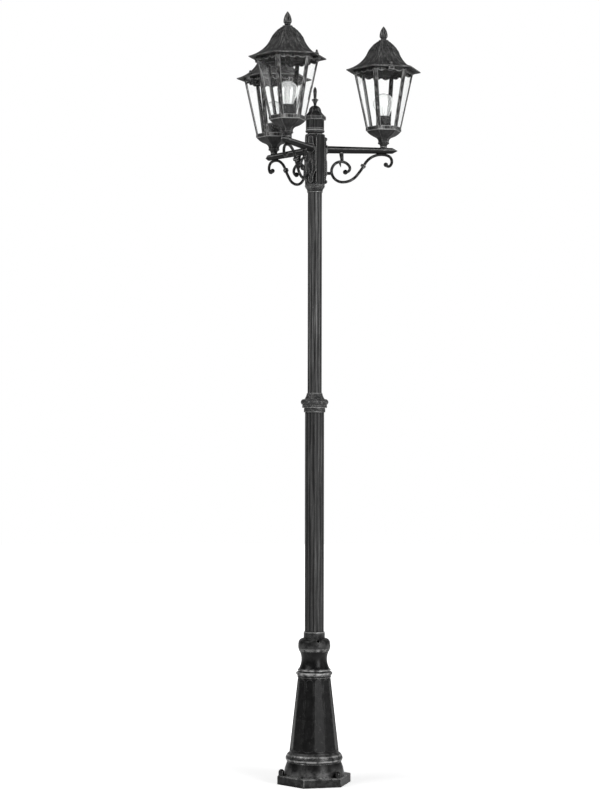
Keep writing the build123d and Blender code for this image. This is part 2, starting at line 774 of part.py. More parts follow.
def hub_finial():
    """Spike on a flared neck with a disc, screwed into the hub cap."""
    disc = OGEE_TOP + SPIKE_NECK_H
    waist = disc + SPIKE_DISC_H + SPIKE_WAIST_H
    shaft = waist + SPIKE_SHAFT_H
    return turned(
        (0, OGEE_TOP - SPIKE_STUD_L),
        (SPIKE_STUD_R, OGEE_TOP - SPIKE_STUD_L),
        (SPIKE_STUD_R, OGEE_TOP),
        (SPIKE_NECK_R, OGEE_TOP),
        (SPIKE_DISC_R, disc, -SPIKE_NECK_HOLLOW),
        (SPIKE_DISC_R, disc + SPIKE_DISC_H, SPIKE_DISC_H / 3),
        (SPIKE_NECK_R, waist),
        (SPIKE_R, shaft),
        (SPIKE_TIP_R, shaft + SPIKE_TIP_H, SPIKE_TIP_BULGE),
        (0, shaft + SPIKE_TIP_H),
    )


def terminal_block():
    """Three-way block under the plug's floor, drilled for wires and screws."""
    hung = (Align.CENTER, Align.CENTER, Align.MAX)
    block = Pos(0, 0, PLUG_FOOT) * Box(BLOCK_W, BLOCK_L, BLOCK_H, align=hung)
    for way in block_ways():
        block -= way * column(BLOCK_WIRE_R, PLUG_FOOT - BLOCK_H, PLUG_FOOT)
        block -= [way * screw for screw in block_screws(THREAD_PLAY)]
    return block


def block_ways():
    """Places of the block's ways along Y."""
    return [Pos(0, BLOCK_PITCH * (k - (BLOCK_WAYS - 1) / 2), 0) for k in range(BLOCK_WAYS)]


def block_screws(play):
    """The two screws of one way, along X, above one another."""
    screw = rod(BLOCK_SCREW_R + play, BLOCK_W / 2 - BLOCK_SCREW_L - play, BLOCK_W / 2)
    return [Pos(0, 0, PLUG_FOOT - BLOCK_H * share) * screw for share in (0.25, 0.75)]


def plate_screw_levels():
    """Heights of an arm plate's screws above the arm's centre line."""
    return (-PLATE_DROP + PLATE_SCREW_AT, -PLATE_DROP - PLATE_SCREW_AT)


def arm_plate():
    """Shield-shaped plate with a boss for the arm and a raised medallion."""
    shield = outline(
        (-PLATE_HALF_W, -PLATE_STRAIGHT),
        (-PLATE_END_W, -PLATE_END_AT, -PLATE_CURVE),
        (-PLATE_END_W, -PLATE_SCREW_AT),
        (PLATE_END_W, -PLATE_SCREW_AT, PLATE_HALF_H - PLATE_SCREW_AT),
        (PLATE_END_W, -PLATE_END_AT),
        (PLATE_HALF_W, -PLATE_STRAIGHT, -PLATE_CURVE),
        (PLATE_HALF_W, PLATE_STRAIGHT),
        (PLATE_END_W, PLATE_END_AT, -PLATE_CURVE),
        (PLATE_END_W, PLATE_SCREW_AT),
        (-PLATE_END_W, PLATE_SCREW_AT, PLATE_HALF_H - PLATE_SCREW_AT),
        (-PLATE_END_W, PLATE_END_AT),
        (-PLATE_HALF_W, PLATE_STRAIGHT, -PLATE_CURVE),
    )
    plate = Pos(HUB_FLAT, 0, -PLATE_DROP) * extrude(Plane.YZ * shield, amount=PLATE_T)
    medal = extrude(Plane.YZ * Ellipse(MEDAL_HALF_W, MEDAL_HALF_H), amount=MEDAL_RISE)
    medal = chamfer(medal.faces().sort_by(Axis.X)[-1].edges(), MEDAL_RISE * 0.7)
    plate += rod(PLATE_BOSS_R, PLATE_FACE, ARM_SHOULDER)
    plate += Pos(PLATE_FACE, 0, -PLATE_DROP - MEDAL_DROP) * medal
    plate -= rod(ARM_SPIGOT_R + SLIP, HUB_FLAT, ARM_SHOULDER)
    for level in plate_screw_levels():
        plate -= Pos(0, 0, level) * rod(PLATE_SCREW_R + SLIP, HUB_FLAT, PLATE_FACE)
    return plate


def plate_screw():
    """Slotted round-head screw along X, seated on an arm plate."""
    screw = turned(
        (0, HUB_FLAT - PLATE_SCREW_BITE),
        (PLATE_SCREW_R, HUB_FLAT - PLATE_SCREW_BITE),
        (PLATE_SCREW_R, PLATE_FACE),
        (PLATE_HEAD_R, PLATE_FACE),
        (PLATE_HEAD_R * SOCKET_SHARE, PLATE_FACE + PLATE_HEAD_H, PLATE_HEAD_H / 4),
        (0, PLATE_FACE + PLATE_HEAD_H),
    )
    slot = Pos(0, 0, PLATE_FACE + PLATE_HEAD_H) * Box(2 * PLATE_HEAD_R, PLATE_SLOT_W, 2 * PLATE_SLOT_DEPTH)
    return Rot(0, 90, 0) * (screw - slot)


def arm_tube():
    """Tapered hollow arm with a spigot, a pointed closed end and a flat seat for the lantern."""
    bore_end = ARM_REACH + SEAT_R
    tube = turned(
        (ARM_BORE_R, HUB_CHAMBER_R),
        (ARM_SPIGOT_R, HUB_CHAMBER_R),
        (ARM_SPIGOT_R, ARM_SHOULDER),
        (ARM_ROOT_R, ARM_SHOULDER),
        (ARM_END_R, ARM_TIP_START),
        (ARM_TIP_R, ARM_TIP_END),
        (0, ARM_TIP_END),
        (0, bore_end),
        (ARM_BORE_R, bore_end),
    )
    tube = Rot(0, 90, 0) * tube
    seat = column(SEAT_R, 0, SEAT_RISE) - rod(ARM_BORE_R, -SEAT_R, SEAT_R)
    tube += Pos(ARM_REACH, 0, 0) * seat
    return tube - Pos(ARM_REACH, 0, 0) * column(NIPPLE_R + THREAD_PLAY, 0, SEAT_RISE)


def scroll_path():
    """Centre line of the scroll as tangent bends, from the bud to the hook; turns under 0 go clockwise."""
    bends = (
        (CURL_R, CURL_TURN),
        (BACK_R, BACK_TURN),
        (BELLY_R, BELLY_TURN),
        (SWEEP_R, SWEEP_TURN),
        (RISE_R, RISE_TURN),
        (CREST_R, -CREST_TURN),
        (HOOK_R, -HOOK_TURN),
        (TAIL_R, -TAIL_TURN),
    )
    x, z = BUD_AT, -BUD_DROP
    heading = BUD_HEADING
    edges = []
    for radius, turn in bends:
        reach = radius if turn > 0 else -radius
        stops = []
        for share in (0, 0.5, 1):
            angle = radians(heading + turn * share)
            stops.append((x + reach * (sin(angle) - sin(radians(heading))),
                          0,
                          z - reach * (cos(angle) - cos(radians(heading)))))
        edges.append(ThreePointArc(*stops))
        x, _, z = stops[-1]
        heading += turn
    return Wire(edges)


def tapered_bar(start, end, start_r, end_r):
    """Round bar in the arm's plane between two (x, z) points."""
    lean = degrees(atan2(end[0] - start[0], end[1] - start[1]))
    length = sqrt((end[0] - start[0]) ** 2 + (end[1] - start[1]) ** 2)
    bar = turned((0, 0), (start_r, 0), (end_r, length), (0, length))
    return Pos(start[0], 0, start[1]) * Rot(0, lean, 0) * bar


def scroll():
    """Round bar bent into an S, with buds, a knot, a thorn, a strut and a link, fitted under the arm."""
    path = scroll_path()
    start, end = path @ 0, path @ 1
    section = Plane(origin=start, z_dir=path % 0) * Circle(SCROLL_R)
    bar = sweep(section, path=path)
    bar += Pos(start) * Sphere(SCROLL_BUD_R)
    bar += Pos(end) * Sphere(SCROLL_END_R)
    bar += Pos(KNOT_AT, 0, -KNOT_DROP) * Rot(0, 90 - KNOT_LEAN, 0) * Cylinder(KNOT_R, KNOT_L)
    bar += tapered_bar((THORN_AT, -THORN_DROP), (THORN_TIP_AT, -THORN_TIP_DROP), THORN_R, THORN_R / SIDES)
    bar += tapered_bar((STRUT_TOP_AT, 0), (STRUT_FOOT_AT, -STRUT_DROP), STRUT_TOP_R, STRUT_FOOT_R)
    bar += Pos(0, 0, -LINK_DROP) * rod(LINK_R, PLATE_FACE + MEDAL_RISE, LINK_TO)
    arm_r = max(ARM_ROOT_R, ARM_END_R)
    outside = Rot(0, 90, 0) * turned(
        (0, ARM_SHOULDER),
        (ARM_ROOT_R, ARM_SHOULDER),
        (ARM_END_R, ARM_TIP_START),
        (0, ARM_TIP_START),
    )
    above = Pos(ARM_SHOULDER, -arm_r, 0) * Box(ARM_TIP_END, 2 * arm_r, arm_r, align=Align.MIN)
    return bar - [outside, above]


def lamp_nipple():
    """Threaded tube that clamps the bowl between the arm's seat and the lampholder."""
    return turned(
        (NIPPLE_BORE_R, NIPPLE_FOOT),
        (NIPPLE_R, NIPPLE_FOOT),
        (NIPPLE_R, BOWL_FLOOR + NIPPLE_BITE),
        (NIPPLE_BORE_R, BOWL_FLOOR + NIPPLE_BITE),
    )


def bowl():
    """Six-sided ogee bowl on a turned neck with a bead."""
    neck = turned(
        (0, SEAT_RISE),
        (SEAT_R, SEAT_RISE),
        (NECK_BEAD_R, NECK_TOP, -NECK_HOLLOW),
        (NECK_BEAD_R, BOWL_FOOT, NECK_BEAD_BULGE),
        (0, BOWL_FOOT),
    )
    shell = six_sided(
        (0, BOWL_FOOT),
        (BOWL_FOOT_R, BOWL_FOOT),
        (BOWL_WAIST_R, BOWL_WAIST, -BOWL_HOLLOW),
        (BOWL_RIM_R, BOWL_RIM, BOWL_BULGE),
        (BOWL_RIM_R - BOWL_RIM_WALL, BOWL_RIM),
        (BOWL_FLOOR_R, BOWL_FLOOR),
        (0, BOWL_FLOOR),
    )
    return neck + shell - column(NIPPLE_R + SLIP, SEAT_RISE, BOWL_FLOOR)


def pillar_r(height):
    """Distance of a pillar's outer ridge from the lantern's axis."""
    return PILLAR_FOOT_R + PILLAR_SLOPE * (height - SILL_TOP)


def cage():
    """Sill, six leaning pillars and a scalloped head with two lugs for the thumbscrews."""
    sill = six_sided(
        (SILL_INNER_R, BOWL_RIM),
        (SILL_R, BOWL_RIM),
        (SILL_R, SILL_TOP + SILL_LIP_H),
        (SILL_R - SILL_LIP, SILL_TOP + SILL_LIP_H),
        (SILL_R - SILL_LIP, SILL_TOP),
        (SILL_INNER_R, SILL_TOP),
    )
    head = six_sided(
        (HEAD_R - HEAD_WALL, HEAD_TOP - HEAD_BAND_H),
        (HEAD_R, HEAD_TOP - HEAD_BAND_H),
        (HEAD_R, HEAD_TOP),
        (HEAD_R - HEAD_WALL, HEAD_TOP),
    )
    frame = sill + head
    frame += spread(SIDES, pillar())
    frame += spread(SIDES, valance(), 180 / SIDES)
    lug_from = (HEAD_R - HEAD_WALL / 2) * FLAT
    lug = Pos(lug_from, 0, HEAD_TOP) * Box(
        THUMB_AT + LUG_END - lug_from, LUG_W, LUG_T, align=(Align.MIN, Align.CENTER, Align.MAX)
    )
    lug -= Pos(THUMB_AT, 0, 0) * column(THUMB_SHANK_R + MOVING_GAP, HEAD_TOP - LUG_T, HEAD_TOP)
    return frame + [Rot(0, 0, turn) * lug for turn in THUMB_TURNS]


def pillar():
    """Flat bar with a crowned outer face, leaning out along +X from the sill to the head."""
    foot = SILL_TOP - SILL_H / 2
    rise = HEAD_TOP - HEAD_BAND_H / 2 - foot
    ridge = pillar_r(foot)
    half = PILLAR_W / 2
    section = Polygon(
        (ridge, 0),
        (ridge - PILLAR_CROWN, half),
        (ridge - PILLAR_T, half),
        (ridge - PILLAR_T, -half),
        (ridge - PILLAR_CROWN, -half),
        align=None,
    )
    lean = Vector(PILLAR_SLOPE, 0, 1)
    return extrude(Pos(0, 0, foot) * section, amount=rise * lean.length, dir=lean)


def valance():
    """Row of round lobes that hangs under one side of the head, facing +X."""
    side = HEAD_R - PILLAR_W
    pitch = side / LOBES
    flat = HEAD_R * FLAT
    lobes = Sketch() + [
        Pos(pitch * (k - (LOBES - 1) / 2), LOBE_R - LOBE_DROP) * Circle(LOBE_R) for k in range(LOBES)
    ]
    window = Rectangle(side, LOBE_DROP, align=(Align.CENTER, Align.MAX))
    wall = HEAD_WALL * FLAT
    return Pos(flat - wall, 0, HEAD_TOP) * extrude(Plane.YZ * (lobes & window), amount=wall)


def panes():
    """Six flat glass panes standing on the sill behind the pillars."""
    low, high = SILL_TOP, HEAD_TOP - PANE_TOP_DROP
    behind = PILLAR_T + PANE_PLAY
    faces = []
    for level in (low, high):
        corner = pillar_r(level) - behind
        half = corner * sin(radians(180 / SIDES)) - PANE_EDGE_GAP
        outer = corner * FLAT
        face = Rectangle(PANE_T, 2 * half, align=(Align.MIN, Align.CENTER))
        faces.append(Pos(outer - PANE_T, 0, level) * face)
    pane = loft(faces, ruled=True)
    return group(spread(SIDES, pane, 180 / SIDES))


def roof():
    """Six-sided ogee roof shell with a flat soffit, a collar for the acorn and pads for the thumbscrews."""
    wall = ROOF_WALL / FLAT
    shell = six_sided(
        (SOFFIT_R, SOFFIT),
        (EAVE_R, SOFFIT),
        (EAVE_R, EAVE_TOP),
        (ROOF_WAIST_R, ROOF_WAIST, -ROOF_HOLLOW),
        (ROOF_TOP_R, ROOF_TOP, ROOF_BULGE),
        (0, ROOF_TOP),
        (0, ROOF_TOP - ROOF_WALL),
        (ROOF_TOP_R - wall, ROOF_TOP - ROOF_WALL),
        (ROOF_WAIST_R - wall, ROOF_WAIST - ROOF_WALL / 2, -ROOF_BULGE),
        (SOFFIT_R - wall, EAVE_TOP + ROOF_WALL, ROOF_HOLLOW / 4),
    )
    shell += column(ROOF_COLLAR_R, ROOF_TOP - ROOF_COLLAR_H / 2, ROOF_COLLAR_TOP)
    shell -= column(ACORN_STUD_R + THREAD_PLAY, ROOF_TOP - ROOF_WALL - ROOF_COLLAR_H, ROOF_COLLAR_TOP)
    pad = Pos(THUMB_AT, 0, 0) * column(THUMB_PAD_R, SOFFIT, THUMB_SEAT)
    hole = Pos(THUMB_AT, 0, 0) * column(THUMB_SHANK_R + MOVING_GAP, SOFFIT, THUMB_SEAT)
    for turn in THUMB_TURNS:
        shell = shell + Rot(0, 0, turn) * pad - Rot(0, 0, turn) * hole
    return shell


def acorn():
    """Pointed acorn finial with a ring and a stud into the roof's collar."""
    ring = ROOF_COLLAR_TOP + ACORN_NECK_H
    cup = ring + ACORN_RING_H
    widest = cup + ACORN_CUP_H
    return turned(
        (0, ROOF_COLLAR_TOP - ACORN_STUD_L),
        (ACORN_STUD_R, ROOF_COLLAR_TOP - ACORN_STUD_L),
        (ACORN_STUD_R, ROOF_COLLAR_TOP),
        (ACORN_NECK_R, ROOF_COLLAR_TOP),
        (ACORN_NECK_R, ring),
        (ACORN_RING_R, ring),
        (ACORN_RING_R, cup, ACORN_RING_BULGE),
        (ACORN_CUP_R, cup),
        (ACORN_R, widest, ACORN_RING_BULGE),
        (ACORN_TIP_R, widest + ACORN_TIP_H, ACORN_TIP_BULGE),
        (0, widest + ACORN_TIP_H),
    )


def thumbscrew():
    """Captive screw through the eave into the cage's lug, with a pointed head."""
    seat = THUMB_SEAT + MOVING_GAP
    flange = seat + THUMB_HEAD_H
    waist = flange + THUMB_WAIST_H
    screw = turned(
        (0, HEAD_TOP - THUMB_BITE),
        (THUMB_SHANK_R, HEAD_TOP - THUMB_BITE),
        (THUMB_SHANK_R, seat),
        (THUMB_HEAD_R, seat),
        (THUMB_HEAD_R, flange),
        (THUMB_WAIST_R, flange),
        (THUMB_POINT_R, waist),
        (THUMB_TIP_R, waist + THUMB_POINT_H, THUMB_POINT_BULGE),
        (0, waist + THUMB_POINT_H),
    )
    notch = Pos(THUMB_HEAD_R, 0, 0) * column(THUMB_NOTCH_R, seat, flange)
    return Pos(THUMB_AT, 0, 0) * (screw - spread(THUMB_NOTCHES, notch))


def lampholder():
    """Screw lampholder with a blind socket, wire holes and a threaded hole for the nipple."""
    body = turned(
        (0, BOWL_FLOOR),
        (HOLDER_R, BOWL_FLOOR),
        (HOLDER_R, HOLDER_SEAT + HOLDER_DEPTH),
        (HOLDER_BORE_R, HOLDER_SEAT + HOLDER_DEPTH),
        (HOLDER_BORE_R, HOLDER_SEAT),
        (0, HOLDER_SEAT),
    )
    body -= column(NIPPLE_R + THREAD_PLAY, BOWL_FLOOR, BOWL_FLOOR + NIPPLE_BITE + THREAD_PLAY)
    wire = Pos(HOLDER_WIRE_AT, 0, 0) * column(HOLDER_WIRE_R, BOWL_FLOOR, HOLDER_SEAT)
    return body - spread(2, wire)


def sleeve():
    """Thin tube round the lampholder, standing on the bowl's floor."""
    return column(SLEEVE_R, BOWL_FLOOR, BOWL_FLOOR + SLEEVE_H) - column(
        SLEEVE_R - SLEEVE_WALL, BOWL_FLOOR, BOWL_FLOOR + SLEEVE_H
    )


def bulb_cap():
    """Screw cap with rounded threads, an insulating cone and a plain rim."""
    root = BULB_CAP_R - THREAD_DEPTH
    threads = [
        (root, BULB_THREAD_FOOT + THREAD_PITCH * (k + 1), THREAD_DEPTH) for k in range(THREADS)
    ]
    return turned(
        (0, BULB_FOOT),
        (BULB_TIP_R, BULB_FOOT),
        (BULB_GLASS_CONE_R, BULB_THREAD_FOOT),
        (root, BULB_THREAD_FOOT),
        *threads,
        (BULB_RIM_R, BULB_RIM_FOOT),
        (BULB_RIM_R, BULB_SEAT),
        (0, BULB_SEAT),
    )


def bulb_half(inset):
    """Steps of the bulb's side from its neck to its top, drawn in by an inset."""
    radius = BULB_R - inset
    centre = BULB_TOP - BULB_R
    neck = (BULB_NECK_TOP_R - inset, BULB_SEAT + BULB_NECK_H)
    turn = radians(BULB_SHOULDER)
    shoulder = (radius * cos(turn), centre + radius * sin(turn))
    half_span = (radians(90) - turn) / 2
    return neck, (*shoulder, -BULB_SHOULDER_HOLLOW), (0, centre + radius, radius * (1 - cos(half_span)))


def bulb_glass():
    """Thin pear-shaped envelope standing on the cap's rim."""
    inner_neck, inner_shoulder, inner_top = bulb_half(BULB_WALL)
    low = (BULB_NECK_R - BULB_WALL, BULB_SEAT)
    shell = turned((0, BULB_SEAT), (BULB_NECK_R, BULB_SEAT), *bulb_half(0))
    hollow = turned((0, BULB_SEAT), low, inner_neck, inner_shoulder, inner_top)
    return shell - hollow


def bulb_mount():
    """Glass stem with two leads, two supports and the filament they carry."""
    leads_foot = BULB_SEAT + STEM_H
    stem = turned(
        (0, BULB_SEAT),
        (STEM_FOOT_R, BULB_SEAT),
        (STEM_R, BULB_SEAT + STEM_H / 2, -STEM_R / 2),
        (STEM_R, leads_foot),
        (0, leads_foot),
    )
    top = BULB_SEAT + LEAD_TOP_H
    mount = stem
    for side in (-1, 1):
        foot = (side * STEM_R / 2, leads_foot - STEM_R)
        for spread_to in (LEAD_SPREAD, SUPPORT_SPREAD):
            mount += tapered_bar(foot, (side * spread_to, top), LEAD_R, LEAD_R)
    return mount + Pos(0, 0, top) * rod(FILAMENT_R, -LEAD_SPREAD, LEAD_SPREAD)


def main():
    """Builds every piece and writes it to its own file."""
    os.makedirs("parts", exist_ok=True)

    base_screw = Pos(0, 0, BASE_SCREW_Z) * set_screw(BASE_SCREW_R, BASE_SCREW_L, LOWER_POLE_R)
    joint_screw = Pos(0, 0, JOINT_SCREW_Z) * set_screw(JOINT_SCREW_R, JOINT_SCREW_L, UPPER_POLE_R)
    node("base_casting", base_casting())
    node("anchor_nut_caps", anchor_caps())
    node("base_set_screws", group(spread(SET_SCREWS, base_screw, SET_SCREW_TURN + BASE_TURN)))
    node("lower_pole", fluted_tube(
        LOWER_POLE_R, LOWER_POLE_BORE_R, LOWER_FLUTES, LOWER_FLUTE_TURN, POLE_LEDGE, LOWER_POLE_TOP))
    node("joint_collar", joint_collar())
    node("joint_set_screws", group(Rot(0, 0, turn) * joint_screw for turn in JOINT_SCREW_TURNS))
    node("upper_pole", fluted_tube(
        UPPER_POLE_R, UPPER_POLE_BORE_R, UPPER_FLUTES, UPPER_FLUTE_TURN, UPPER_POLE_FOOT, UPPER_POLE_TOP))
    node("pole_capital", pole_capital())
    node("hub_body", hub_body())
    node("hub_cap", hub_cap())
    node("hub_finial", hub_finial())
    node("terminal_block", terminal_block())
    node("terminal_screws", group(way * screw for way in block_ways() for screw in block_screws(0)))

    arm_spots = [Rot(0, 0, 360 / ARMS * k) * Pos(0, 0, ARM_Z) for k in range(ARMS)]
    lantern_spots = [
        spot * Pos(ARM_REACH, 0, 0) * Rot(0, 0, turn) for spot, turn in zip(arm_spots, LANTERN_TURNS)
    ]
    screw_spots = [spot * Pos(0, 0, level) for spot in arm_spots for level in plate_screw_levels()]
    node("arm_plate_screws", group(spot * plate_screw() for spot in screw_spots))
    node("lamp_nipples", group(spot * lamp_nipple() for spot in lantern_spots))

    arm_pieces = {"plate": arm_plate(), "tube": arm_tube(), "scroll": scroll()}
    thumb = thumbscrew()
    lantern_pieces = {
        "bowl": bowl(),
        "cage": cage(),
        "panes": panes(),
        "roof": roof(),
        "acorn": acorn(),
        "thumbscrew_a": Rot(0, 0, THUMB_TURNS[0]) * thumb,
        "thumbscrew_b": Rot(0, 0, THUMB_TURNS[1]) * thumb,
        "lampholder": lampholder(),
        "sleeve": sleeve(),
        "bulb_cap": bulb_cap(),
        "bulb_glass": bulb_glass(),
        "bulb_mount": bulb_mount(),
    }
    for k in range(ARMS):
        for piece, shape in arm_pieces.items():
            node(f"arm_{k + 1}_{piece}", arm_spots[k] * shape)
        for piece, shape in lantern_pieces.items():
            node(f"lantern_{k + 1}_{piece}", lantern_spots[k] * shape)


main()
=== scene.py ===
import logging
import math
from dataclasses import dataclass
from enum import Enum

import bpy
import numpy as np
from mathutils import Euler, Matrix, Vector


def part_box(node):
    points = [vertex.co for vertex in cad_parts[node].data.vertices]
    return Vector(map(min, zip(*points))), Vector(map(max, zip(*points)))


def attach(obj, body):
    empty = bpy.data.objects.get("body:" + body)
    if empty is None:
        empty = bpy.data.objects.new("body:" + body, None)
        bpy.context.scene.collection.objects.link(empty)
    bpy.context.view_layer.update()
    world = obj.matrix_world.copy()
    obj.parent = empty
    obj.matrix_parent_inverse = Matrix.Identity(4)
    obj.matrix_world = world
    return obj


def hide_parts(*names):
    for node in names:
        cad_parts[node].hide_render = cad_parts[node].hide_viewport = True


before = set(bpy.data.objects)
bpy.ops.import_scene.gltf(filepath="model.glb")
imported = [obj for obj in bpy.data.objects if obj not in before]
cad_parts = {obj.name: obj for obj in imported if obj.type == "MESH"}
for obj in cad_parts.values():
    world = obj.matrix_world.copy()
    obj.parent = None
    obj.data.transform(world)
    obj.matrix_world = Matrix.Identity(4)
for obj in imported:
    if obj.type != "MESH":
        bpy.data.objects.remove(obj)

# Looks of an outdoor lamp post with three six-sided lanterns on scrolled arms.
# Metres, +Z up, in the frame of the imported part: the pole stands on the origin and the first arm points along +X.

logging.basicConfig(level=logging.INFO, format="%(name)s: %(message)s")
LOG = logging.getLogger("lamp_post")

Colour = tuple[float, float, float]
Point = tuple[float, float, float]
Socket = bpy.types.NodeSocket
# Places of a curve's stops and what it reads there
Stops = tuple[tuple[float, float], ...]
# Where a soft step starts and ends
Step = tuple[float, float]
# What a straight line starts at and gains
Line = tuple[float, float]

ORIGIN = (0.0, 0.0, 0.0)
WHITE = (1.0, 1.0, 1.0, 1.0)
ARMS = (1, 2, 3)
SIDES = 6
SHARP_DEG = 50.0
PHOTO_WIDTH = 600
PHOTO_HEIGHT = 800

# How a surface turns at its edges, opens to its surroundings (which paints shade into hollows) and looks away from its
# axis
SHADING_SAMPLES = 6
EDGE_STEP = (0.004, 0.16)
HOLLOW_SHADE_REACH = 0.012
HOLLOW_SHADE_STEP = (0.45, 0.9)
OUTWARD_STEP = (-0.1, 0.25)


class Stroke(Enum):
    """Which way the silver was dragged over a casting, as waves per metre along each axis."""

    UPRIGHT = (260.0, 260.0, 5.0)
    DABBED = (90.0, 90.0, 90.0)
    FANNED = (13.0, 13.0, 60.0)
    REACHING = (25.0, 25.0, 330.0)

    @property
    def runs_outward(self) -> bool:
        """Whether the stroke runs outward from an axis, with its first two scales counted round that axis."""
        return self in (Stroke.FANNED, Stroke.REACHING)


@dataclass(frozen=True)
class Cloud:
    """Cloudy noise: its waves per metre, its octaves and how much the small octaves count."""

    scale: float
    detail: float
    rough: float = 0.55


class Value:
    """A number that changes over a surface. Arithmetic on it adds Math nodes to its tree."""

    def __init__(self, tree: "Tree", socket: Socket) -> None:
        """Wraps an output socket.

        Args:
            tree: The material under construction.
            socket: The output that carries the number.
        """
        self.tree = tree
        self.socket = socket

    def _math(self, operation: str, *operands: "Value | float") -> "Value":
        """Adds one Math node and returns its result."""
        node = self.tree.add("ShaderNodeMath", {"operation": operation}, dict(enumerate(operands)))
        return Value(self.tree, node.outputs[0])

    def __add__(self, other: "Value | float") -> "Value":
        """Sum."""
        return self._math("ADD", self, other)

    def __radd__(self, other: float) -> "Value":
        """Sum with a plain number in front."""
        return self._math("ADD", other, self)

    def __sub__(self, other: "Value | float") -> "Value":
        """Difference."""
        return self._math("SUBTRACT", self, other)

    def __rsub__(self, other: float) -> "Value":
        """Difference from a plain number."""
        return self._math("SUBTRACT", other, self)

    def __mul__(self, other: "Value | float") -> "Value":
        """Product."""
        return self._math("MULTIPLY", self, other)

    def __rmul__(self, other: float) -> "Value":
        """Product with a plain number in front."""
        return self._math("MULTIPLY", other, self)

    def __truediv__(self, other: "Value | float") -> "Value":
        """Quotient."""
        return self._math("DIVIDE", self, other)

    def __pow__(self, other: "Value | float") -> "Value":
        """Power."""
        return self._math("POWER", self, other)

    def clamped(self) -> "Value":
        """The number held between 0 and 1."""
        return self._math("MINIMUM", self._math("MAXIMUM", self, 0.0), 1.0)

    def line(self, start: float, gain: float) -> "Value":
        """The number on a straight line: the start at 0, and the gain more at 1."""
        return start + gain * self

    def above(self, low: float, high: float) -> "Value":
        """A soft step from 0 at low to 1 at high.

        Args:
            low: Where the step starts.
            high: Where the step ends.

        Returns:
            The step, eased at both ends.
        """
        node = self.tree.add(
            "ShaderNodeMapRange",
            {"interpolation_type": "SMOOTHSTEP"},
            {"Value": self, "From Min": low, "From Max": high},
        )
        return Value(self.tree, node.outputs["Result"])

    def ramp(self, stops: Stops) -> "Value":
        """The number read off a curve of (place, height) stops."""
        node = self.tree.add("ShaderNodeValToRGB", {"stops": stops}, {"Fac": self})
        return Value(self.tree, node.outputs["Color"])


